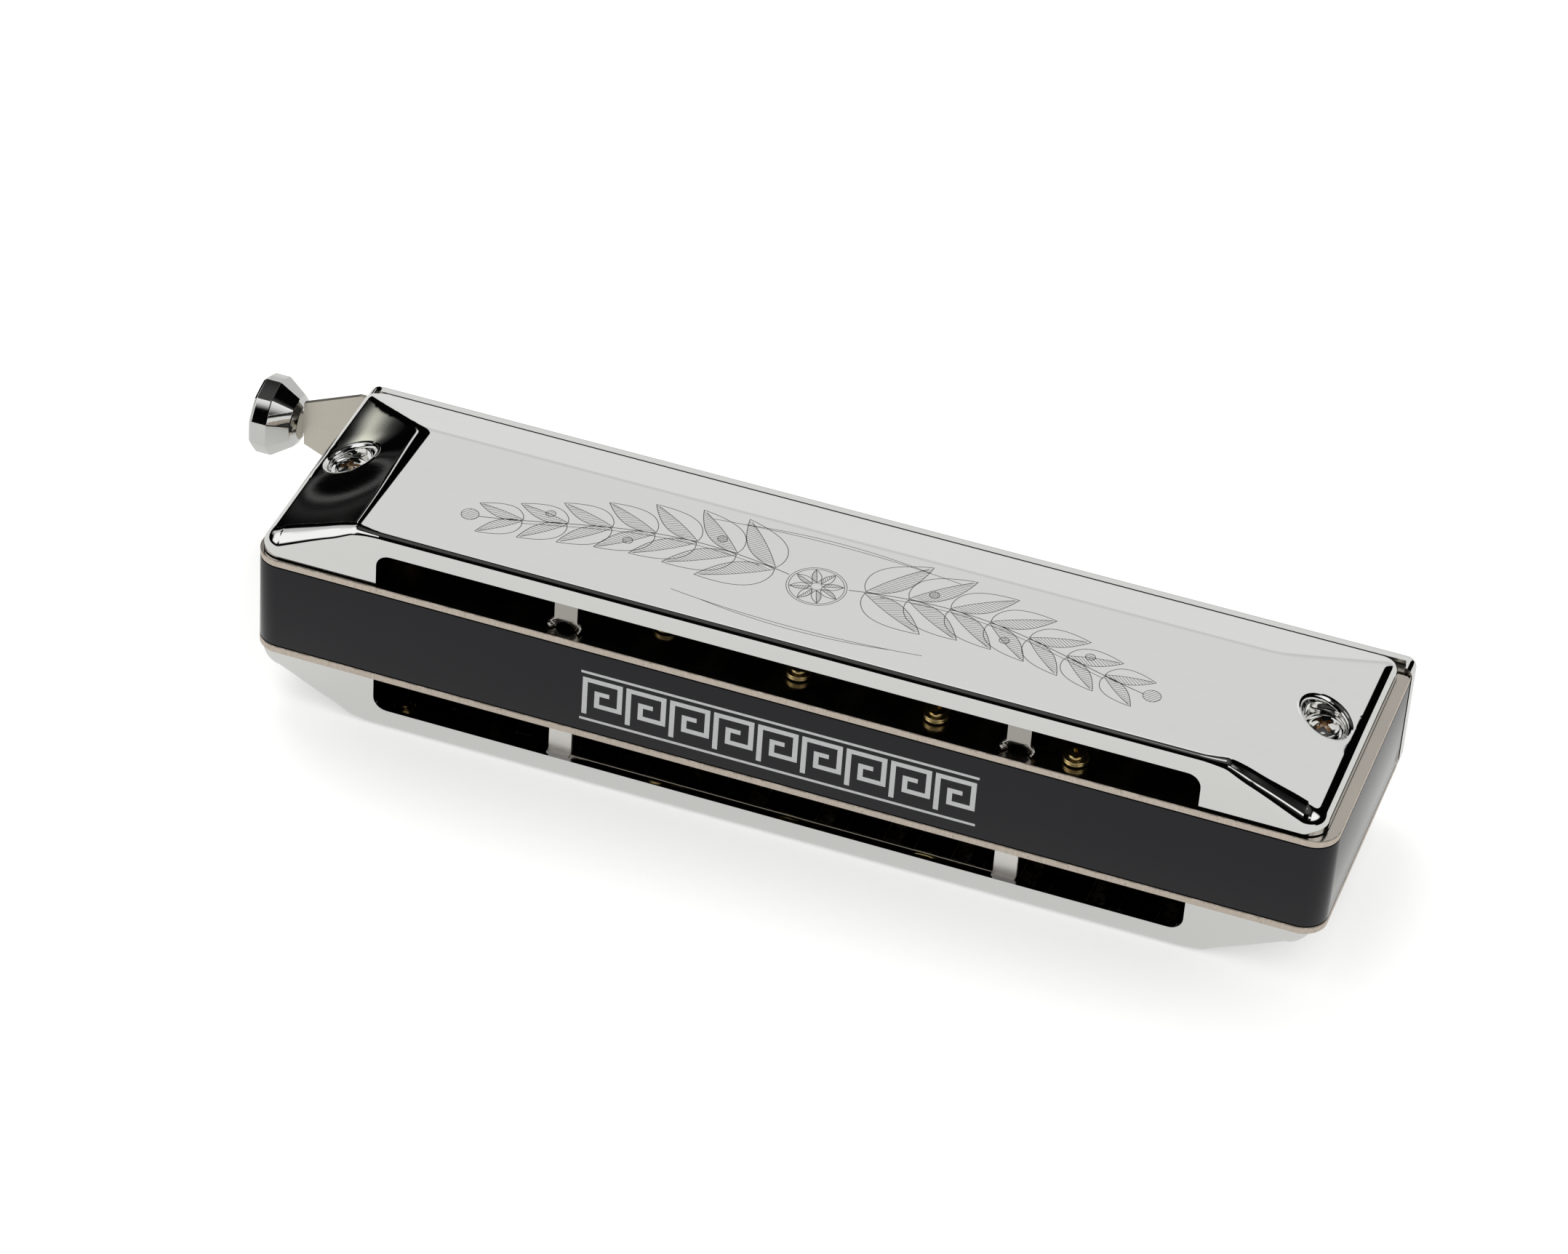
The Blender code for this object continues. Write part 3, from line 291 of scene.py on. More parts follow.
def chrome_finish(g, tint, haze, wear):
    """Mirror plate: smears and hairlines move its roughness, and its tint darkens a little in them."""
    place = g.place()
    smear = g.grain(place, (60.0, 190.0, 120.0), 4.0, 0.6).rise(0.45, 0.75)
    hair = g.grain(place, (4000.0, 250.0, 900.0), 2.0).rise(0.62, 0.8)
    rough = haze + smear * wear * 0.6 + hair * wear * 0.5
    colour = g.mix(smear * 0.35, tint, scaled(tint, 0.96))
    return g.surface(colour, rough, Normal=g.bump(g.noise(place, 5200.0, 2.0), 0.015, 0.00002))


def plate_finish(g, tint, middle):
    """Nickel silver: polished on its faces, sheared and satin on its edges with upright grain.

    Its middle is the height half way through the plate. The edge has dark specks, and a burr along its
    top is ragged and darker still.
    """
    top = middle + PLATE / 2
    place = g.place()
    _, _, z = g.parts(place)
    face = (z - middle).size().rise(PLATE / 2 - 0.00004, PLATE / 2 - 0.00001)
    grain = g.grain(place, (5200.0, 5200.0, 500.0), 3.0, 0.7)
    specks = g.noise(place, 2600.0, 2.0, 0.6).rise(0.62, 0.72)
    edge = g.mix(grain, scaled(tint, 0.80), scaled(tint, 1.28))
    edge = g.mix(specks * 0.55, edge, (0.20, 0.15, 0.11))
    burr = z.rise(top - 0.00020, top - 0.00009)
    ragged = g.grain(place, (900.0, 900.0, 200.0), 3.0, 0.7).rise(0.35, 0.60)
    edge = g.mix(burr * ragged * 0.75, edge, (0.16, 0.11, 0.07))
    polished = g.mix(g.noise(place, 90.0, 3.0), (0.50, 0.46, 0.40), (0.42, 0.39, 0.35))
    rough = 0.42 - face * 0.30 + g.noise(place, 400.0, 3.0) * 0.08
    normal = g.bump(grain * (1.0 - face), 0.25, 0.00003)
    return g.surface(g.mix(face, edge, polished), rough, Normal=normal)


def satin_finish(g, tint, roughness, grain_scale):
    """Rolled sheet: long grain in one direction over a cloudy tone."""
    place = g.place()
    grain = g.grain(place, grain_scale, 4.0, 0.65)
    cloud = g.noise(place, 120.0, 3.0)
    colour = g.mix(grain * 0.6 + cloud * 0.4, scaled(tint, 0.88), scaled(tint, 1.1))
    rough = roughness + grain * 0.12 - cloud * 0.06
    return g.surface(colour, rough, Normal=g.bump(grain, 0.12, 0.00002))


def comb_finish(g, colour):
    """Gloss black coating: a fine orange peel and a softly varied gloss."""
    place = g.place()
    peel = g.noise(place, 900.0, 2.0)
    cloud = g.noise(place, 60.0, 3.0)
    tone = g.mix(cloud, colour, scaled(colour, 1.35))
    return g.surface(tone, 0.06 + cloud * 0.04, 0.0, Normal=g.bump(peel, 0.03, 0.00003), IOR=1.38)


def screw_finish(g, tint, recess_top, recess_tint):
    """Bright plate on a screw, with a warm tarnish in the recess of the two cover screws.

    The recess is what lies below a height and within 1.35 mm of a screw's axis. The two axes lie the
    same distance to the left and to the right of the covers' middle.
    """
    left, right = SCREW_PLACES
    place = g.place()
    x, y, z = g.parts(place)
    along = (x - (left.x + right.x) / 2).size() - (right.x - left.x) / 2
    aside = y - (ORIGIN.y + left.y)
    inside = (along * along + aside * aside).fall(0.00125**2, 0.00145**2)
    deep = inside * z.fall(recess_top - 0.00008, recess_top + 0.00004)
    cloud = g.noise(place, 900.0, 3.0)
    rough = 0.08 + cloud * 0.06 + deep * 0.16
    return g.surface(g.mix(deep, tint, recess_tint), rough, Normal=g.bump(cloud, 0.1, 0.00003))


def turned_finish(g, tint):
    """Turned brass: a cloudy polish with patches of tarnish."""
    place = g.place()
    cloud = g.noise(place, 700.0, 4.0, 0.6)
    tarnish = g.noise(place, 260.0, 3.0).rise(0.5, 0.75)
    colour = g.mix(tarnish * 0.5, tint, scaled(tint, 0.62))
    return g.surface(colour, 0.14 + cloud * 0.16, Normal=g.bump(cloud, 0.15, 0.00003))


def print_finish(g, tint, roughness, metallic):
    """Silver ink or a cut line: a fine flake through an even tone."""
    place = g.place()
    flake = g.noise(place, 4500.0, 2.0, 0.7)
    colour = g.mix(flake, scaled(tint, 0.82), scaled(tint, 1.12))
    return g.surface(colour, roughness + flake * 0.15, metallic)


MATERIALS = {}


def make_materials():
    """Makes every finish under its short name."""
    finishes = bpy.context.scene.harmonica_finishes
    chrome, nickel = tuple(finishes.chrome), tuple(finishes.nickel)
    recess_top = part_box("cover_screw_left")[1].z - 0.00032
    plate_middle = HALF_COMB + SEAT + PLATE / 2
    looks = {
        "chrome": ("mirror_chrome", chrome_finish, chrome, 0.022, 0.03),
        "knob": ("knob_chrome", chrome_finish, (0.68, 0.68, 0.665), 0.04, 0.10),
        "mouth": ("mouth_chrome", chrome_finish, chrome, 0.03, 0.04),
        # The two tab tints are painted light on one chrome: the upper tabs are darker as painted shade, the
        # lower ones lighter as painted light.
        "top_tab": ("top_tab_chrome", chrome_finish, (0.44, 0.42, 0.39), 0.10, 0.15),
        "bottom_tab": ("bottom_tab_satin", chrome_finish, (0.90, 0.88, 0.84), 0.42, 0.10),
        "top_plate": ("top_nickel_silver", plate_finish, nickel, ORIGIN.z + plate_middle),
        "bottom_plate": ("bottom_nickel_silver", plate_finish, nickel, ORIGIN.z - plate_middle),
        "slide": ("satin_nickel", satin_finish, (0.66, 0.62, 0.54), 0.34, (220.0, 2600.0, 4200.0)),
        "comb": ("black_coating", comb_finish, tuple(finishes.comb)),
        "screw": ("screw_plate", screw_finish, (0.78, 0.77, 0.74), recess_top, (0.55, 0.41, 0.29)),
        "steel": ("bright_steel", satin_finish, (0.62, 0.62, 0.61), 0.2, (900.0, 900.0, 900.0)),
        "brass": ("turned_brass", turned_finish, tuple(finishes.brass)),
        "engraving": ("engraved_line", print_finish, (0.34, 0.345, 0.32), 0.45, 1.0),
        "print": ("silver_print", print_finish, (0.60, 0.61, 0.61), 0.4, 0.35),
    }
    MATERIALS.update({key: new_material(*look) for key, look in looks.items()})


# ---------------------------------------------------------------- meshes from arrays


def grid_quads(rows, columns, closed=False):
    """The quads of a grid of points numbered row by row; a closed grid joins its last column to its first."""
    first = np.arange(rows - 1)[:, None] * columns
    across = np.arange(columns if closed else columns - 1)
    after = (across + 1) % columns
    low, high = first + across, first + after
    return np.stack([low, high, high + columns, low + columns], -1).reshape(-1, 4)


def bar(sections):
    """A bar through a row of cross sections with the same number of corners, closed at both ends."""
    rows, columns = sections.shape[:2]
    ends = [range(columns), range(columns * (rows - 1), columns * rows)]
    return sections.reshape(-1, 3), grid_quads(rows, columns, closed=True).tolist() + ends


def add_piece(name, points, faces, finish, slot, replaces=(), body="harmonica", sharp=45.0, faces_out=True):
    """An object from points in comb space and its faces, which are merged and can be turned outwards.

    finish is a key of MATERIALS, and sharp is the angle above which an edge stays a crease. A piece
    without a body is left without a parent.
    """
    mesh = bpy.data.meshes.new(name)
    points = np.asarray(points, float) + np.array(ORIGIN)
    mesh.from_pydata(points.tolist(), [], [list(face) for face in faces])
    bm = bmesh.new()
    bm.from_mesh(mesh)
    bmesh.ops.remove_doubles(bm, verts=bm.verts[:], dist=1e-7)
    bmesh.ops.dissolve_degenerate(bm, edges=bm.edges[:], dist=1e-8)
    if faces_out:
        bmesh.ops.recalc_face_normals(bm, faces=bm.faces[:])
    bm.to_mesh(mesh)
    bm.free()
    mesh.materials.append(MATERIALS[finish])
    mesh.shade_smooth()
    mesh.set_sharp_from_angle(angle=math.radians(sharp))
    piece = bpy.data.objects.new(name, mesh)
    bpy.context.scene.collection.objects.link(piece)
    if body:
        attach(piece, body)
    if replaces:
        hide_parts(*replaces)
    return piece


def hard_edges(piece, width, segments, angle):
    """Breaks the edges of a faceted piece and keeps its faces flat."""
    modifier = piece.modifiers.new("broken_edges", "BEVEL")
    modifier.width = width
    modifier.segments = segments
    modifier.limit_method = "ANGLE"
    modifier.angle_limit = math.radians(angle)
    modifier.harden_normals = True


def dress(nodes, finish):
    """Gives CAD nodes a finished material."""
    for node in nodes:
        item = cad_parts[node]
        item.data.materials.clear()
        item.data.materials.append(MATERIALS[finish])


# ---------------------------------------------------------------- pressed sheet


def smooth(t):
    """The smooth step 3t^2 - 2t^3 of t held between 0 and 1."""
    t = np.clip(t, 0, 1)
    return t * t * (3 - 2 * t)


def quarter(t):
    """The quarter round sqrt(1 - t^2), which falls from 1 to 0 while t goes from 0 to 1."""
    return np.sqrt(np.maximum(1 - t**2, 0.0))


def rounded_edge(height, r, m):
    """Heights h with a quarter round of radius r at an edge: h - r + sqrt(r^2 - (r - m)^2) where m < r."""
    return height - r + np.sqrt(np.maximum(r**2 - np.maximum(r - m, 0.0) ** 2, 0.0))


def spaced(*runs):
    """Sample places from runs of (end, step) after a start: spaced(start, (end, step), ...)."""
    start, parts = runs[0], [np.array([runs[0]])]
    for end, step in runs[1:]:
        count = max(1, int(round(abs(end - start) / step)))
        parts.append(np.linspace(start, end, count + 1)[1:])
        start = end
    return np.concatenate(parts)


def edge_arc(radius, steps):
    """Distances from the outline at equal turns of a quarter round: r - r cos(a)."""
    return radius * (1 - np.cos(np.linspace(0, math.pi / 2, steps + 1)))


def mirrored(values):
    """Values on both sides of 0."""
    return np.concatenate([-values, values])


def merged(values, kept, clear=0.00009):
    """All the kept samples, and of the others those that are well clear of them."""
    kept = np.unique(np.round(np.concatenate(kept), 8))
    loose = np.unique(np.round(np.concatenate(values), 8))
    gap = np.abs(loose[:, None] - kept[None, :]).min(1)
    return np.sort(np.concatenate([kept, loose[gap > clear]]))


def rounded_plan(u, v, a, b, radius):
    """Bends the rings of a rectangle so that each has the round corners of the outline.

    A point's ring is its distance m to the nearest side. On that ring the corner has the radius
    radius - m, and a point closer to the corner than this goes on to the arc, by its share of the way.
    The turn given back is 0 beside a short side, 1 beside a long one and passes between them on the arcs.
    """
    m = np.minimum(a - np.abs(u), b - np.abs(v))
    rho = np.maximum(radius - m, 0.0)
    along_u, along_v = a - m - np.abs(u), b - m - np.abs(v)
    c = along_u + along_v
    inside = (rho > 0) & (c < rho)
    share = np.where(inside, c / np.where(rho > 0, rho, 1.0), 1.0)
    turn = np.where(along_u <= along_v, 1 - share, 1 + share) / 2
    new_u = np.where(inside, a - radius + rho * np.cos(turn * math.pi / 2), np.abs(u))
    new_v = np.where(inside, b - radius + rho * np.sin(turn * math.pi / 2), np.abs(v))
    return np.sign(u) * new_u, np.sign(v) * new_v, m, turn


def round_rings(u, v, ring, centre, circle_to, square_from):
    """Bends the square rings about a centre to circles, and back to squares further out.

    s is the greater of the two distances along the axes, which is a square ring's half width. The point
    goes to the distance s from the centre in its own direction, wholly up to circle_to and not at all
    from square_from on. Inside there its ring becomes s. Also given back is which points those are.
    """
    x, y = u - centre[0], v - centre[1]
    s = np.maximum(np.abs(x), np.abs(y))
    reach = np.hypot(x, y)
    scale = np.where(reach > 0, s / np.where(reach > 0, reach, 1.0), 1.0)
    weight = smooth((square_from - s) / (square_from - circle_to))
    factor = weight * scale + (1 - weight)
    near = s < square_from
    u = np.where(near, centre[0] + x * factor, u)
    v = np.where(near, centre[1] + y * factor, v)
    return u, v, np.where(near, s, ring), near


def pressed_plan(samples, a, b, corner, centres, circle_to, square_from):
    """A grid bent to the rectangle's round corners and to circles about the centres.

    Gives back u, v, the distance m to the nearest side, the turn at the corners and the ring.
    """
    u, v, m, turn = rounded_plan(*np.meshgrid(*samples), a, b, corner)
    ring = np.full_like(u, 1.0)
    for centre in centres:
        u, v, ring, near = round_rings(u, v, ring, centre, circle_to, square_from)
        m = np.where(near, np.minimum(a - np.abs(u), b - np.abs(v)), m)
    return u, v, m, turn, ring


def pierced(ring, limit):
    """The quads of a grid, but for those that lie wholly inside the rings below a limit."""
    inside = ring.ravel() < limit
    quads = grid_quads(*ring.shape)
    return quads[~inside[quads].all(1)]


def soft_least(first, second, blend):
    """The lower of two heights, with the corner between them rounded where they differ by under blend."""
    h = np.maximum(blend - np.abs(first - second), 0.0) / blend
    return np.minimum(first, second) - h * h * blend / 4


def normals_of(points, quads):
    """Unit normals at the points, from the faces round them weighted by area."""
    p = points[quads]
    face = np.cross(p[:, 2] - p[:, 0], p[:, 3] - p[:, 1])
    total = np.zeros_like(points)
    for k in range(4):
        np.add.at(total, quads[:, k], face)
    size = np.linalg.norm(total, axis=1, keepdims=True)
    return total / np.where(size > 0, size, 1.0)


def sheet(points, quads, thickness, axis):
    """Both sides of a sheet and the rims between them, from its outer skin.

    The skin is turned so that it looks along the axis on the whole. Inner points follow the outer ones.
    """
    normals = normals_of(points, quads)
    if normals[:, axis].mean() < 0:
        quads, normals = quads[:, ::-1], -normals
    edges = np.concatenate([quads[:, [k, (k + 1) % 4]] for k in range(4)])
    _, index, uses = np.unique(np.sort(edges, 1), axis=0, return_inverse=True, return_counts=True)
    rim = edges[uses[index.ravel()] == 1]
    count = len(points)
    rims = np.stack([rim[:, 1], rim[:, 0], rim[:, 0] + count, rim[:, 1] + count], -1)
    faces = np.concatenate([quads, quads[:, ::-1] + count, rims])
    return np.concatenate([points, points - thickness * normals]), faces


def perimeter(rows, columns):
    """The numbers of a grid's outer points, once round."""
    index = np.arange(rows * columns).reshape(rows, columns)
    return np.concatenate([index[0, :-1], index[:-1, -1], index[-1, :0:-1], index[:0:-1, 0]])


def curtain(points, loop, x, y, z):
    """Adds the levels of points that hang from a loop, and gives back the quads between them too.

    x, y and z are given for each level and each point of the loop, or once for all levels.
    """
    levels = np.stack(np.broadcast_arrays(x, y, z), -1)
    numbers = len(points) + np.arange(levels[..., 0].size).reshape(levels.shape[:2])
    ids = np.concatenate([loop[None], numbers])
    after = np.roll(ids, -1, 1)
    quads = np.stack([ids[1:], after[1:], after[:-1], ids[:-1]], -1)
    return np.concatenate([points, levels.reshape(-1, 3)]), quads


# ---------------------------------------------------------------- covers

# The top is a level panel. From it a nose falls to the front and a slope to each end, which is crowned
# by up to CROWN and bulges by up to BULGE round its dish.
PANEL_HALF_LENGTH = 0.0553
PANEL_FRONT = 0.0233
NOSE_FALL = 0.50
END_FALL = 0.43
CROWN = 0.00010
BULGE = 0.00009
BULGE_RADIUS = 0.0065
DISH_FLOOR = 0.0020
# In dish radii: the screw's hole, the rim, the widest ring that is a circle, and the first that is a square.
DISH_HOLE = 0.42
DISH_RIM = 1.12
DISH_CIRCLES = 1.13
DISH_SQUARE = 1.345
DISH_RINGS = np.array([
    0.16, 0.3, 0.406, 0.56, 0.64, 0.70, 0.73, 0.76, 0.79, 0.82, 0.835, 0.85, 0.865, 0.88, 0.895, 0.91, 0.925,
    0.94, 0.96, 0.98, 1.0, 1.02, 1.04, 1.065, 1.09, DISH_RIM, 1.155, 1.19, 1.23, 1.27, 1.31, DISH_SQUARE,
])
# The finely sampled strip along the cover's edge, and the rows of points on each half of its walls.
EDGE_STRIP = 0.0029
WALL_ROWS = 3
OPENING = np.array([-0.0528, 0.0522])
OPENING_RISE = 0.0046
OPENING_CORNER = 0.0018
TAB_PLACES = (-0.02845, 0.02934)
TAB_HALF_WIDTH = 0.00148
SCREW_PLACES = [place_of("cover_screw_left"), place_of("cover_screw_right")]


def cover_height(x, y, blend):
    """The cover's top above its foot, before the edge is rounded.

    It is the least of a level panel, a nose that falls to the front and a slope that falls to each end.
    A pressed sheet is never quite flat, so the slope is crowned between its crease and its end, bulges
    a little round its dish, as exp(-(distance / radius)^2), and bends by the square of y towards the
    front and the rear.
    """
    u = np.abs(x - COVER_CENTRE_X)
    across = (u - PANEL_HALF_LENGTH) / (COVER_HALF_LENGTH - PANEL_HALF_LENGTH)
    along = (y - COVER_REAR) / (PANEL_FRONT - COVER_REAR)
    crown = CROWN * np.clip(4 * across * (1 - across), 0, 1) * (0.4 + 0.6 * smooth(along))
    panel = np.full_like(x, COVER_RISE)
    nose = COVER_RISE - NOSE_FALL * (y - PANEL_FRONT)
    end = COVER_RISE - END_FALL * (u - PANEL_HALF_LENGTH) + crown
    front_bend = 0.6 * np.maximum(y - 0.018, 0.0) ** 2
    rear_bend = 0.35 * np.maximum(0.012 - y, 0.0) ** 2
    end = end - front_bend + rear_bend
    for place in SCREW_PLACES:
        end = end + BULGE * np.exp(-((x - place.x) ** 2 + (y - place.y) ** 2) / BULGE_RADIUS**2)
    softer = blend * (0.55 + 1.1 * smooth(along))
    top = soft_least(panel, nose, blend * 1.4)
    return soft_least(top, end, softer)


def edge_radius(x, behind, turn, height, sizes):
    """Radius of the rounding at the top's edge, never more than the height there less 0.4 mm.

    It is the end radius beside a short side (turn 0). Beside a long side (turn 1) it is the edge radius,
    which grows to the rear end radius over the end slopes of the rear. The square of turn blends them.
    """
    u = np.abs(x - COVER_CENTRE_X)
    start, first, second = PANEL_HALF_LENGTH - 0.0033, 0.0065, 0.007
    growth = 0.65 * smooth((u - start) / first) + 0.35 * smooth((u - start - first) / second)
    long_side = sizes.fillet + (sizes.rear_fillet - sizes.fillet) * growth * behind
    radius = sizes.end_fillet + (long_side - sizes.end_fillet) * turn**2
    return np.minimum(radius, height - 0.0004)


def dish_profile(s, surface, radius):
    """Plan radius and height of a dish: flat floor, round foot, steep wall and a rounded rim."""
    foot_rise, rim_fall, most = 0.00060, 0.00080, 0.45
    stations = np.array([0.0, 0.70, 0.76, 0.82, 0.85, 0.88, 0.91, 0.94, 0.98, 1.04, DISH_RIM]) * radius
    radii = np.array([0.0, 0.70, 0.77, 0.82, 0.85, 0.875, 0.890, 0.907, 0.957, 1.032, DISH_RIM]) * radius
    total = surface - DISH_FLOOR
    low = np.minimum(foot_rise, most * total)
    high = np.minimum(rim_fall, most * total)
    wall = total - low - high
    parts = [DISH_FLOOR + lift * low for lift in (0.0, 0.0, 0.18, 0.55, 1.0)]
    parts += [DISH_FLOOR + low + 0.5 * wall, DISH_FLOOR + low + wall]
    parts += [surface - drop * high for drop in (0.617, 0.293, 0.076, 0.0)]
    heights = np.stack(parts)
    flat = s.ravel()
    k = np.clip(np.searchsorted(stations, flat, side="right") - 1, 0, len(stations) - 2)
    t = np.clip((flat - stations[k]) / (stations[k + 1] - stations[k]), 0, 1)
    column = heights.reshape(len(stations), -1)
    across = np.arange(flat.size)
    height = column[k, across] * (1 - t) + column[k + 1, across] * t
    plan = radii[k] * (1 - t) + radii[k + 1] * t
    return plan.reshape(s.shape), height.reshape(s.shape)


def cover_samples(sizes, screws):
    """Where the top's columns and rows lie: close together at its edges, dishes, creases and opening."""
    half, depth = COVER_HALF_LENGTH, COVER_HALF_DEPTH
    front = PANEL_FRONT - COVER_MIDDLE[1]
    strip = np.concatenate([edge_arc(sizes.fillet, 8), np.linspace(sizes.fillet, EDGE_STRIP, 10)[1:]])
    rings = np.concatenate([-DISH_RINGS, [0.0], DISH_RINGS]) * sizes.dish_radius
    corner = edge_arc(OPENING_CORNER, 6)
    opening = np.concatenate([OPENING[0] + corner, OPENING[1] - corner]) - COVER_MIDDLE[0]
    creases = spaced(0.0490, (0.0530, 0.0005), (0.0575, 0.00018), (0.0589, 0.00045))
    u = merged([spaced(-half + EDGE_STRIP, (-half + 0.0009, 0.0004)), spaced(-0.0490, (0.0490, 0.0035)),
                mirrored(creases)],
               [mirrored(half - strip), screws[0][0] + rings, screws[1][0] + rings, opening])
    v = merged([spaced(-depth + EDGE_STRIP, (-depth + 0.0055, 0.00024), (front - 0.0012, 0.0012),
                       (front + 0.0012, 0.0002), (depth - EDGE_STRIP, 0.00035))],
               [mirrored(depth - strip), screws[0][1] + rings])
    return u, v


def sunk(points, offset, ring, sizes):
    """Moves the points inside a dish's rim to the dish's profile.

    offset is a point's place from the dish's middle. It keeps this direction and goes to the profile's
    radius for its ring, and its height lies between the floor and the surface at the rim.
    """
    dish, beyond = sizes.dish_radius, 1.5
    reach = np.hypot(*offset)
    near = (ring < DISH_RIM * dish) & (reach < beyond * dish)
    away = offset / np.where(reach > 0, reach, 1.0)
    middle = points[:2] - offset
    rim = middle + away * DISH_RIM * dish
    plan, height = dish_profile(ring, cover_height(*rim, sizes.crease), dish)
    return np.where(near, np.stack([*(middle + away * plan), height]), points)


def cover_surface(sizes):
    """A cover's top as a grid of points, its quads without the two screw holes, and the grid's shape."""
    dish = sizes.dish_radius
    screws = [np.array([p.x, p.y]) - COVER_MIDDLE for p in SCREW_PLACES]
    u, v, m, turn, ring = pressed_plan(cover_samples(sizes, screws), COVER_HALF_LENGTH, COVER_HALF_DEPTH,
                                       sizes.corner, screws, DISH_CIRCLES * dish, DISH_SQUARE * dish)
    x, y = u + COVER_MIDDLE[0], v + COVER_MIDDLE[1]
    height = cover_height(x, y, sizes.crease)
    points = np.stack([x, y, rounded_edge(height, edge_radius(x, v < 0, turn, height, sizes), m)])
    for screw in screws:
        points = sunk(points, np.stack([u - screw[0], v - screw[1]]), ring, sizes)
    return points.reshape(3, -1).T, pierced(ring, DISH_HOLE * dish), ring.shape


def cover_walls(points, shape):
    """Adds rows of points from the top's edge down to the foot, and quads that leave the opening out.

    Each wall point keeps its plan place. The break row follows the opening's edge, so the quads under it
    can be dropped between the opening's ends.
    """
    loop = perimeter(*shape)
    x, y, top = points[loop].T
    beside, blend = 0.006, 0.003
    inset = np.minimum(x - OPENING[0], OPENING[1] - x)
    rear = (y < COVER_REAR + 1e-6) & (inset > -beside)
    within = rear & (inset > -1e-7)
    t = np.clip(1 - inset / OPENING_CORNER, 0, 1)
    arch = OPENING_RISE - OPENING_CORNER * (1 - quarter(t))
    away = np.clip(-inset / blend, 0, 1)
    side = OPENING_RISE - OPENING_CORNER
    level = np.minimum(0.45 * top, side)
    split = np.where(within, arch, np.where(rear, side * (1 - away) + level * away, level))
    share = np.linspace(1, 0, WALL_ROWS + 1)[1:, None]
    z = np.concatenate([split + (top - split) * share, split * share])
    points, quads = curtain(points, loop, x, y, z)
    both = within & np.roll(within, -1)
    open_cell = (np.arange(len(z))[:, None] >= WALL_ROWS) & both
    return points, quads[~open_cell]


def make_cover(side, name):
    """A cover as thin sheet, with side -1 for the lower one, which is the upper one mirrored."""
    sizes = bpy.context.scene.harmonica_cover
    points, quads, shape = cover_surface(sizes)
    points, walls = cover_walls(points, shape)
    points, faces = sheet(points, np.concatenate([quads, walls]), sizes.sheet, 2)
    points[:, 2] = side * (points[:, 2] + COVER_FOOT)
    if side < 0:
        faces = faces[:, ::-1]
    add_piece(f"{name}_cover_stamping", points, faces, "chrome", slot="chrome",
              replaces=[f"{name}_cover"], faces_out=False, sharp=50.0)


# ---------------------------------------------------------------- tabs


def make_tab(x, side, name, number):
    """A tab bent down from the lip: a sheet over (t, s), closed to a plate by its modifiers.

    s runs along the bent line from the lip back, round the bend and down to the reed plate. t runs
    across. The post flares to two curled feet, and its lower edge rises over an arch between them.
    """
    foot, widest, bend, setback, lip = 0.0012, 0.00225, 0.00035, 0.0012, 0.0006
    arch_rise, arch_reach, curl_depth = 0.00088, 0.60, 0.0006
    turn = np.linspace(0, math.pi / 2, 7)
    top = OPENING_RISE + 0.00005
    down = spaced(top - bend, (foot, 0.0005), (0.0, 0.0001))[1:]
    y = np.concatenate([[lip], setback + bend * np.sin(turn), np.full(len(down), setback + bend)])
    level = np.concatenate([[top], top - bend * (1 - np.cos(turn)), down])
    inner = arch_reach * np.cos(np.linspace(math.pi, 0, 15))
    t = np.concatenate([-np.linspace(1, arch_reach, 8)[:-1], inner, np.linspace(arch_reach, 1, 8)[1:]])
    arch = arch_rise * quarter(t / arch_reach)
    low = np.clip(1 - level / foot, 0, 1)[:, None]
    flare = smooth(low * 2.2) * (1 - 0.35 * smooth((low - 0.5) / 0.5))
    across = x + t * (TAB_HALF_WIDTH + (widest - TAB_HALF_WIDTH) * flare)
    z = level[:, None] + arch * low + COVER_FOOT
    curl = curl_depth * smooth((np.abs(t) - 0.68) / 0.32) * smooth(low * 1.6)
    points = np.stack([across, COVER_REAR + (y[:, None] - curl), side * z], -1).reshape(-1, 3)
    # The tab's finish darkens the upper tabs as painted shade and lightens the lower ones as painted light.
    piece = add_piece(f"{name}_cover_tab_{number}", points, grid_quads(len(level), len(t)), f"{name}_tab",
                      slot="chrome", faces_out=False, sharp=180.0)
    plate = piece.modifiers.new("sheet", "SOLIDIFY")
    plate.thickness = 0.0005
    plate.offset = 0.0
    hard_edges(piece, 0.00014, 3, 50.0)


def make_hem(side, name):
    """The hem along the opening: a level strip whose inner edge is a bead, carried along x past both tabs."""
    start, bead, half_sheet, lift = 0.0003, 0.00028, 0.00016, 0.00018
    reach = start + bpy.context.scene.harmonica_cover.hem
    a = np.radians(np.linspace(-145, 145, 13))
    y = np.concatenate([[start], reach + bead * np.cos(a), [start]])
    z = np.concatenate([[-half_sheet], bead * np.sin(a), [half_sheet]]) + OPENING_RISE + lift
    section = np.stack([y + COVER_REAR, side * (z + COVER_FOOT)], -1)
    ends = np.array([TAB_PLACES[0] - TAB_HALF_WIDTH, TAB_PLACES[1] + TAB_HALF_WIDTH])
    count = len(section)
    points = np.concatenate([np.repeat(ends, count)[:, None], np.tile(section, (2, 1))], 1)
    add_piece(f"{name}_cover_hem", *bar(points.reshape(2, count, 3)), "chrome", slot="chrome")


# ---------------------------------------------------------------- smooth sleeves on the comb and plates


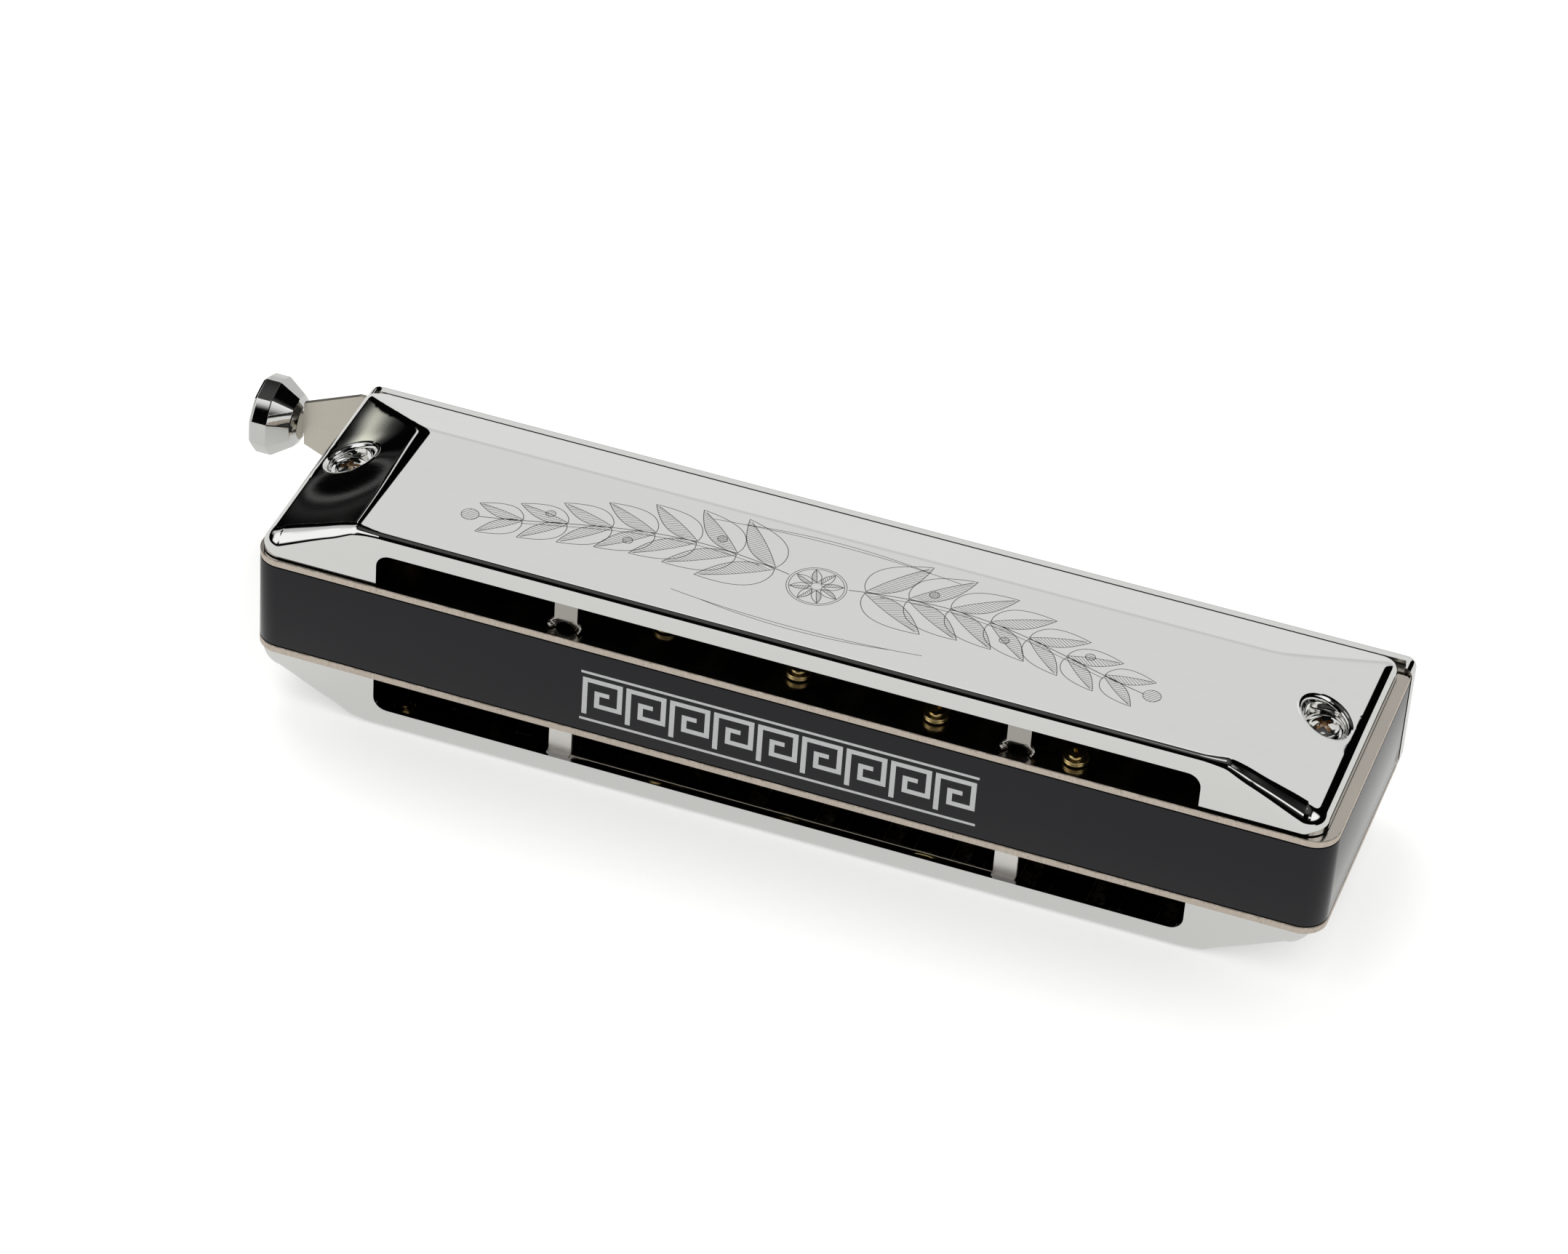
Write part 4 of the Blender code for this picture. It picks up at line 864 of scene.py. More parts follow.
def make_sleeve(name, low, high, finish, slot):
    """A thin sleeve round the back and ends of a body, with smooth corners.

    Its path is the outline of the comb: down one end, a quarter round, along the rear, a quarter round
    and up the other end. A rectangle with two broken edges goes along it, from just outside the body.
    """
    near, proud, bevel, guard = 0.000004, 0.00002, 0.00004, 0.0003
    half, radius, depth = COMB_HIGH.x, 0.0032, COMB_HIGH.y - ORIGIN.y
    a = np.linspace(math.pi, 1.5 * math.pi, 19)
    looks = np.stack([np.cos(a), np.sin(a)], -1)
    bend = (radius - half, radius) + radius * looks
    path = np.concatenate([[[-half, depth], [-half, radius + guard]], bend, [[radius - half + guard, 0.0]]])
    look = np.concatenate([[[-1, 0], [-1, 0]], looks, [[0, -1]]])
    path = np.concatenate([path, path[::-1] * (-1, 1)])[:, None, :]
    look = np.concatenate([look, look[::-1] * (-1, 1)])[:, None, :]
    offsets = np.array([near, proud - bevel / 4, proud, proud, proud - bevel / 4, near])[:, None]
    heights = np.array([low, low, low + bevel, high - bevel, high, high])
    plan = path + look * offsets
    points = np.concatenate([plan, np.broadcast_to(heights[:, None], plan.shape[:2] + (1,))], -1)
    add_piece(name, *bar(points), finish, slot=slot, sharp=25.0)


# ---------------------------------------------------------------- engraved and printed lines


ENGRAVED = (COVER_FOOT + COVER_RISE - 0.00002, COVER_FOOT + COVER_RISE + 0.000004)
PRINTED = (-0.000032, -0.000021)


def ribbons(paths, width, levels=ENGRAVED):
    """Thin bars along flat paths of equal length: four corners at each point, and the quads between them.

    At a point the sides stand width / 2 from the path along the mitre, which is the mean of the two
    directions there turned a quarter, and longer by one over the cosine of half the bend.
    """
    low, high = levels
    paths = np.asarray(paths, float)
    count, steps = paths.shape[:2]
    run = np.diff(paths, axis=1)
    run /= np.linalg.norm(run, axis=2, keepdims=True)
    before, after = np.concatenate([run[:, :1], run], 1), np.concatenate([run, run[:, -1:]], 1)
    mean = before + after
    mean /= np.linalg.norm(mean, axis=2, keepdims=True)
    cosine = np.maximum((mean * after).sum(2, keepdims=True), 0.4)
    side = np.stack([-mean[..., 1], mean[..., 0]], -1) * (np.asarray(width) / 2 / cosine)
    rise = np.broadcast_to([low, high, high, low], (count, steps, 4))[..., None]
    plan = np.stack([paths + side, paths + side, paths - side, paths - side], 2)
    points = np.concatenate([plan, rise], -1).reshape(-1, 3)
    block = grid_quads(steps, 4, closed=True)
    last = 4 * (steps - 1)
    block = np.concatenate([block, [[0, 1, 2, 3], [last, last + 1, last + 2, last + 3]]])
    quads = (block[None] + np.arange(count)[:, None, None] * 4 * steps).reshape(-1, 4)
    return points, quads


def joined(parts):
    """Several (points, quads) put into one."""
    points, quads, start = [], [], 0
    for part, faces in parts:
        points.append(part)
        quads.append(faces + start)
        start += len(part)
    return np.concatenate(points), np.concatenate(quads)


def circle_line(centre, radius, steps, width):
    """A ring drawn as one line."""
    a = np.linspace(0, math.tau, steps + 1)
    return ribbons((centre + radius * np.stack([np.cos(a), np.sin(a)], -1))[None], width)


def leaf_lines(base, angle, size, bend, line, hatch):
    """One engraved leaf: outline, midrib, and fine veins that fill the half in shadow.

    Along the axis a in 0..1 the half width is 0.24 size sin(pi a^0.8)^0.9, and the axis itself bends
    aside by bend times a squared. A vein leaves the midrib at a and meets the outline at a + 0.13.
    """
    along = np.array([math.cos(angle), math.sin(angle)])
    aside = np.array([-along[1], along[0]])

    def axis(a):
        return base + size * (a[:, None] * along + bend * (a**2)[:, None] * aside)

    def half_width(a):
        return 0.24 * size * np.sin(math.pi * np.clip(a, 0, 1) ** 0.8) ** 0.9

    a = np.linspace(0, 1, 17)
    upper = axis(a) + half_width(a)[:, None] * aside
    lower = axis(a) - half_width(a)[:, None] * aside
    outline = np.concatenate([upper, lower[-2::-1]])
    shadow = math.copysign(1.0, bend)
    start = np.arange(0.06, 0.86, hatch / size)
    end = np.clip(start + 0.13, 0, 0.985)
    veins = np.stack([axis(start), axis(end) + shadow * half_width(end)[:, None] * aside], 1)
    return [
        ribbons(outline[None], line * 1.15),
        ribbons(axis(np.linspace(0, 0.94, 9))[None], line),
        ribbons(veins, line * 0.8),
    ]


def berry_lines(centre, radius, line, hatch):
    """A circle filled with slanted hatch lines, each cut to its chord."""
    offset = np.arange(-0.86 * radius, 0.861 * radius, hatch)
    chord = np.sqrt(radius**2 - offset**2) * 0.96
    along, across = np.array([0.6, 0.8]), np.array([-0.8, 0.6])
    middle = centre + offset[:, None] * across
    lines = np.stack([middle - chord[:, None] * along, middle + chord[:, None] * along], 1)
    return [circle_line(centre, radius, 36, line), ribbons(lines, line * 0.8)]


def spray_lines(middle, side, sizes):
    """One half of the spray: a waved double stem with seven pairs of leaves, berries and a last berry."""
    line, hatch = sizes.line, sizes.hatch
    q = np.linspace(0.09, 1.0, 60)
    wave = 0.0030 * np.sin(math.pi * 1.25 * q) - 0.0016 * q
    stem = np.stack([side * q * sizes.reach, wave], -1) + middle
    parts = [ribbons(stem[None], line * 1.4), ribbons(stem[None, 6:52] - (0, 0.0006), line)]
    parts += berry_lines(stem[-1] + (side * 0.0011, 0.0), 0.0011, line, hatch * 0.8)
    for k, at in enumerate(range(3, 52, 8)):
        slope = stem[at + 1] - stem[at]
        heading = math.atan2(slope[1], slope[0])
        for way in (1, -1):
            spread = math.radians(50 - 2.5 * k) * way * side
            base = stem[at] + (0.0, 0.00018 * way)
            parts += leaf_lines(base, heading + spread, 0.0098 - 0.00062 * k, -0.16 * way * side, line, hatch)
        if k in (1, 3, 5):
            berry = stem[at + 4] + (0.0, 0.0019 if k != 3 else -0.0022)
            parts += berry_lines(berry, 0.00062, line, hatch * 0.7)
    return parts


def make_engraving():
    """A spray of leaves on the top panel, the same to the left and right of a rosette."""
    sizes = bpy.context.scene.harmonica_ornament
    line, hatch = sizes.line, sizes.hatch
    middle = np.array([COVER_CENTRE_X, 0.0128])
    parts = spray_lines(middle, -1, sizes) + spray_lines(middle, 1, sizes)
    parts += [circle_line(middle, radius, 48, line) for radius in (0.0007, 0.0034, 0.0037)]
    for k in range(8):
        angle = math.tau * k / 8 + 0.3
        base = middle + 0.0008 * np.array([math.cos(angle), math.sin(angle)])
        parts += leaf_lines(base, angle, 0.0025, 0.05, line, hatch * 0.75)
    q = np.linspace(-1, 1, 61)
    for offset, half in ((0.0076, 0.016), (0.0081, 0.012), (-0.0076, 0.016), (-0.0081, 0.012)):
        bow = 0.0011 * (1 - q**2) * math.copysign(1.0, offset)
        swash = np.stack([q * half, offset + bow], -1) + middle
        parts.append(ribbons(swash[None], line))
    points, quads = joined(parts)
    add_piece("engraved_spray", points, quads, "engraving", slot="chrome", sharp=30.0)


def make_border():
    """A key border in silver ink on the comb's rear face, between two thin lines."""
    sizes = bpy.context.scene.harmonica_ornament
    count, middle_z, gap = 9, -0.0006, 0.0011
    long, h = sizes.border_length, sizes.border_height
    step = long / count
    stroke = 0.115 * step
    hook = np.array([(0, 0), (0, 1), (0.80, 1), (0.80, 0.26), (0.28, 0.26), (0.28, 0.64), (0.56, 0.64)])
    hook = hook * (step, h) - (long / 2, h / 2)
    hooks = hook[None] + np.stack([np.arange(count) * step, np.zeros(count)], -1)[:, None]
    hooks[:, 0, 1] -= stroke / 2
    parts = [ribbons(hooks + (0.10 * step, 0.0), stroke, PRINTED)]
    for level in (h / 2 + gap, -h / 2 - gap):
        ends = np.array([[-long / 2, level], [long / 2, level]])
        parts.append(ribbons(ends[None], stroke * 0.55, PRINTED))
    points, quads = joined(parts)
    placed = np.stack([points[:, 0], points[:, 2], points[:, 1] + middle_z], -1)
    add_piece("printed_border", placed, quads, "print", slot="comb", sharp=30.0)


# ---------------------------------------------------------------- turned pieces


def slotted_turning(centre, top, below, arms, width, reach, depth, turn, axis=2):
    """A turned piece whose top has a straight slot (two arms) or a cross (four).

    top and below are (radius, height) from the middle outwards and on down to the middle again. In each
    ring the columns bunch at the slot's edges, asin(width / 2r) from the arm's middle, so its walls
    fall between two columns. Between them the height is lower by the depth.
    """
    half = math.pi / arms
    core = width / 2 / math.sin(half)
    radii, heights = np.asarray(top, float).T
    extra = np.array([core, 1.10 * core, reach * 0.97, reach])
    r = np.unique(np.concatenate([radii, extra, [0.5 * core]]))
    z = np.interp(r, radii, heights)
    edge = np.arcsin(np.minimum(width / 2 / np.maximum(r, 1e-9), math.sin(half) * 0.998))[:, None]
    outer = np.linspace(0, 1, 24 // arms + 1)
    wide = edge + (half - edge) * outer
    narrow = edge * np.array([-0.96, -0.5, 0.0, 0.5, 0.96])
    sector = np.concatenate([-wide[:, ::-1][:, 1:], narrow, wide], 1)
    outside = np.concatenate([np.ones(len(outer) - 1), np.zeros(5), np.ones(len(outer))]) > 0.5
    low = np.where(outside, (r <= core * 1.001)[:, None], (r < reach * 0.985)[:, None])
    z = z[:, None] - depth * low
    angle = np.concatenate([sector + 2 * half * k for k in range(arms)], 1) + turn
    z = np.tile(z, (1, arms))
    r = np.broadcast_to(r[:, None], angle.shape)
    skirt = np.asarray(below, float)
    shape = (len(skirt), angle.shape[1])
    r = np.concatenate([r, np.broadcast_to(skirt[:, :1], shape)])
    z = np.concatenate([z, np.broadcast_to(skirt[:, 1:], shape)])
    angle = np.concatenate([angle, np.broadcast_to(angle[-1], shape)])
    u, v = r * np.cos(angle), r * np.sin(angle)
    points = np.stack([u, v, z], -1) if axis == 2 else np.stack([u, z, v], -1)
    points = points + np.array(centre)
    return points.reshape(-1, 3), grid_quads(*angle.shape, closed=True)


def turned(profile, sides, centre):
    """A profile of (radius, height) turned about an upright axis, closed by its ends or on itself."""
    r, z = np.asarray(profile, float).T[..., None]
    a = np.linspace(0, math.tau, sides, endpoint=False)
    points = np.stack([r * np.cos(a), r * np.sin(a), z + 0 * a], -1) + np.array(centre)
    return points.reshape(-1, 3), grid_quads(len(profile), sides, closed=True)


def arc(centre, radius, start, end, steps):
    """Points of an arc in (radius, height), its angles in degrees."""
    a = np.radians(np.linspace(start, end, steps + 1))
    return np.stack([centre[0] + radius * np.cos(a), centre[1] + radius * np.sin(a)], -1)


def dome(radius, top, fall, steps):
    """A dome in (radius, height), lower than its top by the square of the radius, and by fall at its edge."""
    r = np.linspace(0, radius, steps)
    return np.stack([r, top - fall * (r / radius) ** 2], -1)


def add_turning(node, shape, finish):
    """A turned piece that stands over a node."""
    slot = "brass" if finish == "brass" else "steel"
    add_piece(f"{node}_turning", *shape, finish, slot=slot, replaces=[node], sharp=42.0)


def make_cover_screws():
    """Domed screws with a cross recess: a shallow dome, a rounded rim and the shank below."""
    head = COVER_FOOT + DISH_FLOOR + SEAT
    radius, rise, bead, shank, tip = 0.0020, 0.0009, 0.00028, 0.00098, 0.0008
    for node, turn in (("cover_screw_left", 0.35), ("cover_screw_right", 0.9)):
        place, (low, _) = place_of(node), span(node)
        rim = arc((radius - bead, head + rise - 0.00070), bead, 78, 0, 6)
        below = [*rim, (radius, head + 0.00012), (radius - 0.0001, head), (shank, head),
                 (shank, low + 0.0002), (tip, low), (0, low)]
        shape = slotted_turning((place.x, place.y, 0), dome(radius * 0.86, head + rise, 0.00042, 9), below,
                                arms=4, width=0.00062, reach=0.00128, depth=0.00052, turn=turn)
        add_turning(node, shape, "screw")


def make_mouth_screws():
    """Slotted screws with a low dome at both ends of the mouthpiece; their axis lies along y."""
    radius, bead, shank, tip = 0.0017, 0.0002, 0.00083, 0.0005
    for node, turn in (("mouthpiece_screw_left", 0.4), ("mouthpiece_screw_right", -0.7)):
        place, (low, high) = place_of(node), span(node, 1)
        head = high - 0.0010
        rim = arc((radius - bead, high - 0.00075), bead, 55, 0, 4)
        below = [*rim, (radius, head), (shank, head), (shank, low + 0.0003), (tip, low), (0, low)]
        shape = slotted_turning((place.x, 0, 0), dome(radius * 0.93, high, 0.00055, 9), below,
                                arms=2, width=0.0005, reach=radius * 0.985, depth=0.0005, axis=1, turn=turn)
        add_turning(node, shape, "screw")


def bolt_shape(place, low, high):
    """A bolt: a slotted head with a rounded rim, over a washer face with two beads round its edge."""
    seat = PLATE_TOP + SEAT
    radius, flange, shank, edge, bead = 0.0010, 0.0016, 0.0008, 0.00028, 0.00017
    rim = arc((radius - edge, high - 0.00034), edge, 80, 0, 5)
    upper, lower = (arc((flange - bead, seat + bead * k), bead, 80, -80, 6) for k in (3, 1))
    below = [*rim, (radius, seat + 4.6 * bead), (radius + 0.0001, seat + 4.15 * bead),
             (flange - 1.6 * bead, seat + 4 * bead), *upper, *lower, (flange - 0.0002, seat),
             (shank, seat), (shank, low + 0.0001), (shank - 0.0001, low), (0, low)]
    return slotted_turning((place.x, place.y, 0), dome(radius * 0.72, high, 0.00006, 5), below,
                           arms=2, width=0.0004, reach=radius * 0.99, depth=0.0004,
                           turn=2.1 * place.x / 0.009)


def nut_shape(place, low, high):
    """A round nut with two broken edges."""
    bore, wide, under, over = 0.00095, 0.0014, 0.00015, 0.0001
    profile = [(bore, low), (wide - under, low), (wide, low + under), (wide, high - over),
               (wide - over, high), (bore, high), (bore, low)]
    return turned(profile, 40, (place.x, place.y, 0))


def make_bolts():
    """Brass bolts above the reed plates and the nuts under them."""
    for kind, shape_of in (("plate_bolt", bolt_shape), ("plate_nut", nut_shape)):
        for node in sorted(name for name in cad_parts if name.startswith(kind)):
            add_turning(node, shape_of(place_of(node), *span(node)), "brass")


# ---------------------------------------------------------------- return spring


def tube(path, radius, sides):
    """A round wire along a path. Each ring stands across the path there, with one of its axes level."""
    run = np.gradient(path, axis=0)
    run /= np.linalg.norm(run, axis=1, keepdims=True)
    aside = np.cross(run, (0.0, 0.0, 1.0))
    aside /= np.linalg.norm(aside, axis=1, keepdims=True)
    above = np.cross(aside, run)
    a = np.linspace(0, math.tau, sides, endpoint=False)[:, None]
    ring = radius * (np.cos(a) * aside[:, None] + np.sin(a) * above[:, None])
    return bar(path[:, None] + ring)


def make_spring():
    """The return spring: a wire coiled round its pin, with a leg on the pocket's wall and a leg in the slide.

    The wire leaves the coil where it is tangent to the line to the slide's hole, and its height falls
    evenly round the coil. The leg in the slide bends in front of the coil.
    """
    pin = place_of("spring_pin")
    slide = span("slide", 1)[0]
    wire, coil, turns, pitch, wall = 0.0003, 0.0017, 2, 0.00075, -0.0636
    centre = np.array([pin.x, pin.y, 0.0])
    tip = np.array([pin.x - HOLE_PITCH / 4, slide + 0.00036, 0.0])
    leg = tip - centre
    leave = math.atan2(leg[1], leg[0]) + math.acos(coil / np.hypot(*leg[:2]))
    start = leave - math.tau * turns - math.radians(75.0)
    share = np.linspace(0, 1, 36 * turns + 1)
    a = start + (leave - start) * share
    loop = centre + np.stack([coil * np.cos(a), coil * np.sin(a), turns * pitch / 2 * (1 - 2 * share)], -1)
    away = np.array([math.sin(start), -math.cos(start), 0.0])
    reach = (loop[0, 0] - wall - 2 * wire - SEAT) / max(-away[0], 0.2)
    anchor = loop[0] + away * min(reach, 2 * coil)
    lifted = loop[-1] + 0.7 * (tip - loop[-1])
    lifted[2] = 0.0
    rise = np.linspace(0, 1, 15)[1:, None]
    level = loop[-1] + (lifted - loop[-1]) * (smooth(rise) * (0, 0, 1) + rise * (1, 1, 0))
    path = np.concatenate([[anchor], loop, level, lifted + (tip - lifted) * rise[3::4]])
    piece = add_piece("return_spring_wire", *tube(path, wire, 14), "steel", body=None, slot="steel",
                      replaces=["slide_spring"], sharp=40.0)
    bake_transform(piece)


# ---------------------------------------------------------------- mouthpiece


MOUTH_LOW, MOUTH_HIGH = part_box("mouthpiece")
MOUTH_HALF = (MOUTH_HIGH.x - MOUTH_LOW.x) / 2
MOUTH_TALL = (MOUTH_HIGH.z - MOUTH_LOW.z) / 2
RAIL_RISE = 0.0013
MOUTH_FRONT = MOUTH_HIGH.y - ORIGIN.y - RAIL_RISE
MOUTH_EDGE = 0.0008
MOUTH_CORNER = 0.0014
MOUTH_SHEET = 0.0005
# Half the height of the rail, the width of its round edge, and its length beyond the last hole's middle.
RAIL = 0.0047
RAIL_ROUND = 0.0009
RAIL_END = 0.0093
HOLES = HOLE_SHIFT + (np.arange(12) - 5.5) * HOLE_PITCH
HOLE = 0.0031
HOLE_FLARE = 0.0007
# In hole radii: the widest ring that is a circle, and the first that is a square.
HOLE_CIRCLES = 1.24
HOLE_SQUARE = 1.361
HOLE_RINGS = np.array([0.0, 0.55, 0.9, 1.0, 1.03, 1.09, 1.15, 1.19, 1.226, 1.25, 1.28, 1.32, 1.36])


def mouth_samples():
    """Where the front's columns and rows lie: close together at its edges, its holes and the rail's edge."""
    half, tall = MOUTH_HALF, MOUTH_TALL
    rings = HOLE_RINGS * HOLE
    about = np.concatenate([-rings[::-1], rings[1:]])
    across = np.concatenate([centre + about for centre in HOLES])
    brink = RAIL - RAIL_ROUND * np.array([0.0, 0.02, 0.06, 0.13, 0.22, 0.33, 0.44])
    edge = edge_arc(MOUTH_EDGE, 6)
    u = merged([spaced(-half + 0.0012, (HOLES[0] - 0.0045, 0.0005)),
                spaced(HOLES[-1] + 0.0045, (half - 0.0012, 0.0005))],
               [mirrored(half - edge), across])
    v = merged([spaced(-tall + 0.0010, (-RAIL - 0.0003, 0.0004)),
                spaced(RAIL + 0.0003, (tall - 0.0010, 0.0004))],
               [mirrored(tall - edge), mirrored(brink), about])
    return u, v


def mouth_front():
    """The front as a grid of points, its quads without the twelve holes, and the grid's shape."""
    centres = [(hole, 0.0) for hole in HOLES]
    u, v, m, _, ring = pressed_plan(mouth_samples(), MOUTH_HALF, MOUTH_TALL, MOUTH_CORNER, centres,
                                    HOLE_CIRCLES * HOLE, HOLE_SQUARE * HOLE)
    pill = HOLES[-1] - HOLE_SHIFT + RAIL_END - RAIL
    reach = np.hypot(np.maximum(np.abs(u - HOLE_SHIFT) - pill, 0.0), v)
    t = np.clip((RAIL - reach) / RAIL_ROUND, 0, 1)
    rise = MOUTH_HIGH.y - ORIGIN.y - MOUTH_FRONT
    height = rounded_edge(MOUTH_FRONT + rise * quarter(1 - t), MOUTH_EDGE, m)
    turn = np.clip((HOLE + HOLE_FLARE - ring) / HOLE_FLARE, 0, 1)
    height = height - HOLE_FLARE * (1 - quarter(turn))
    height = np.where(ring < HOLE * 0.999, MOUTH_FRONT - 0.00064, height)
    return np.stack([u, height, v], -1).reshape(-1, 3), pierced(ring, HOLE * 1.001), ring.shape


def make_mouthpiece():
    """A pressed sheet: a flat box with a raised rail, twelve flared holes and walls back round the slide.

    The front's grid lies in (x, z). Its height is the rail's smooth rise across the edge of a pill, and
    inside each hole's flare the sheet turns back by a quarter round to the hole's own wall. The walls are
    deeper at both ends, but for the gap that the slide's arm goes through.
    """
    points, quads, shape = mouth_front()
    loop = perimeter(*shape)
    x, start, z = points[loop].T
    long_wall, end_wall, gap_wall, half_gap = 0.00155, 0.00287, 0.00125, 0.0068
    depth = np.where(np.abs(x) > MOUTH_HALF - 0.0011, end_wall, long_wall)
    depth = np.where((x < -MOUTH_HALF + 0.0005) & (np.abs(z) < half_gap), gap_wall, depth)
    y = start + (MOUTH_FRONT - depth - start) * np.array([0.25, 0.5, 0.75, 1.0])[:, None]
    points, walls = curtain(points, loop, x, y, z)
    used, quads = np.unique(np.concatenate([quads, walls.reshape(-1, 4)]), return_inverse=True)
    points, faces = sheet(points[used], quads.reshape(-1, 4), MOUTH_SHEET, 1)
    add_piece("mouthpiece_pressing", points, faces, "mouth", slot="chrome", replaces=["mouthpiece"],
              faces_out=False, sharp=50.0)


# ---------------------------------------------------------------- knob


def make_knob():
    """A knob with ten facets, a little convex from polishing, with broken edges.

    At the angle p from a facet's middle a ring has the radius R ((1 - c) cos(18 deg) / cos(p) + c), which
    is the flat facet for c = 0 and the round for c = 1. The rings follow the knob's profile along x.
    """
    middle = place_of("button")
    face, end = span("button", 0)
    outline = [(0.0, 0.0), (0.0023, 0.0), (0.00345, 0.0006), (0.00522, 0.0032), (0.00522, 0.0052),
               (0.0049, 0.0056), (0.0, 0.0056)]
    radius, along = np.array(outline).T[..., None]
    sides, strips, convex, drawn = 10, 6, 0.22, 0.0054
    part = math.tau / sides
    a = np.arange(sides * strips) * part / strips
    off = a % part - part / 2
    radius = radius * ((1 - convex) * math.cos(part / 2) / np.cos(off) + convex)
    a = a + math.radians(1.5)
    x = end - along * (end - face) / drawn + 0 * a
    points = np.stack([x, middle.y + radius * np.sin(a), middle.z + radius * np.cos(a)], -1)
    quads = grid_quads(len(outline), sides * strips, closed=True)
    piece = add_piece("button_knob", points.reshape(-1, 3), quads, "knob", body="slide", slot="chrome",
                      replaces=["button"], sharp=20.0)
    hard_edges(piece, 0.00010, 2, 15.0)


# ---------------------------------------------------------------- stage


def make_floor():
    """A wide pale floor: a little brighter to the camera, and nearly even white to mirrors."""
    mesh = bpy.data.meshes.new("floor")
    half = 3.0
    corners = [(-half, -half, 0), (half, -half, 0), (half, half, 0), (-half, half, 0)]
    mesh.from_pydata(corners, [], [range(4)])
    floor = bpy.data.objects.new("floor", mesh)
    bpy.context.scene.collection.objects.link(floor)
    floor.location.z = -0.0001

    def build(g):
        camera, glossy = g.ray()
        base = g.add("ShaderNodeBsdfDiffuse", {}, {"Color": (0.86, 0.86, 0.85)})
        seen = g.add("ShaderNodeAddShader", {}, [base, g.glow((1.0, 1.0, 1.0), camera * 0.30)])
        return g.add("ShaderNodeMixShader", {}, [glossy * 0.75, seen, g.glow((1.0, 1.0, 0.985), 0.72)])

    mesh.materials.append(new_material("pale_floor", build))


def make_world(light):
    """Even light for diffuse surfaces, white to the camera, and for mirrors a dark studio.

    The studio has a lit wall in front, a dark ceiling, soft boxes to the left, behind and to the
    right, a bright line along the horizon behind the camera and a lamp straight overhead. Each is a
    product of smooth steps over x, y and z, the parts of the direction that a mirror looks in.
    """
    world = bpy.data.worlds.new("studio")
    bpy.context.scene.world = world
    world.use_nodes = True
    g = Graph(world.node_tree)
    x, y, z = g.parts(g.add("ShaderNodeTexCoord", output="Generated"))
    camera, glossy = g.ray()
    ahead = y.rise(0.3, 0.4)
    bearing = x / y.most(0.05)
    slant = z - bearing

    wall = (x + y * 0.437).rise(-0.004, 0.012) * (y * 0.535 - x).rise(-0.015, 0.015) * y.rise(0.2, 0.3)
    wall = wall * z.rise(-0.03, -0.005) * z.fall(0.70, 0.77)
    wall = wall * (0.79 - z.between(-0.1, 0.35, 0.15) * 0.12 + z.between(0.66, 0.73, 0.015) * 0.22)
    strip = (x + y * 0.771).between(-0.014, 0.014, 0.006) * z.between(0.24, 0.45, 0.04) * ahead
    patch = bearing.between(-0.852, -0.828, 0.009) * z.between(0.151, 0.181, 0.010) * ahead
    haze = bearing.between(-0.866, -0.822, 0.010) * z.between(0.146, 0.192, 0.012) * ahead
    arcs = slant.between(1.084, 1.089, 0.004) * 0.12 + slant.between(1.070, 1.076, 0.005) * 0.03
    arcs = arcs * z.between(0.16, 0.26, 0.02) * ahead
    knob_box = x.between(-0.90, -0.311, 0.003) * y.between(-0.72, 0.10, 0.03) * z.between(0.50, 0.78, 0.04)
    roll_box = x.between(-0.92, -0.50, 0.04) * y.between(-0.78, 0.45, 0.06) * z.between(0.20, 0.70, 0.05)
    roll_box = roll_box * (1.0 - y.rise(-0.15, 0.30) * 0.45)
    rear_box = x.rise(0.399, 0.411) * y.between(-0.72, -0.50, 0.03) * z.between(0.60, 0.70, 0.03)
    rear_haze = x.rise(0.28, 0.36) * y.fall(-0.20, -0.05) * z.rise(0.40, 0.50)
    right_box = x.between(0.60, 1.1, 0.03) * y.fall(0.1, 0.3) * z.between(0.43, 0.80, 0.05)
    horizon = y.fall(-0.6, -0.45) * z.between(-0.02, 0.085, 0.012) * x.rise(-0.45, -0.40)
    overhead = z.rise(0.982, 0.990)
    below = z.fall(-0.03, -0.005)
    dim = z.rise(0.80, 0.93) * 0.07

    boxes = knob_box.most(roll_box) * 1.1 + rear_box * 1.1 + right_box * 1.1 + rear_haze * 0.018
    mirror = 0.001 + wall + strip * 0.8 + patch * 0.74 + haze * 0.11 + arcs + boxes + horizon * 0.8
    mirror = mirror + overhead * 0.75 + below * 0.75 + dim
    strength = camera + (1.0 - camera) * (glossy * mirror + (1.0 - glossy) * light)
    tint = g.mix(patch.most(haze) * (1.0 - camera), (1.0, 1.0, 1.0), (1.0, 1.0, 0.86))
    shader = g.add("ShaderNodeBackground", {}, {"Color": tint, "Strength": strength})
    g.add("ShaderNodeOutputWorld", {}, [shader])


def make_lamps():
    """Two large soft boxes. Mirrors don't see them, because the world holds their reflections."""
    for name, place, size, energy in (
        ("key_softbox", (-0.5, 0.7, 1.1), 0.8, 5.0),
        ("fill_softbox", (0.9, -0.5, 1.2), 0.9, 3.0),
    ):
        data = bpy.data.lights.new(name, "AREA")
        data.size = size
        data.energy = energy
        lamp = bpy.data.objects.new(name, data)
        lamp.location = place
        lamp.rotation_mode = "QUATERNION"
        lamp.rotation_quaternion = (-Vector(place)).to_track_quat("-Z", "Y")
        lamp.visible_glossy = False
        bpy.context.scene.collection.objects.link(lamp)


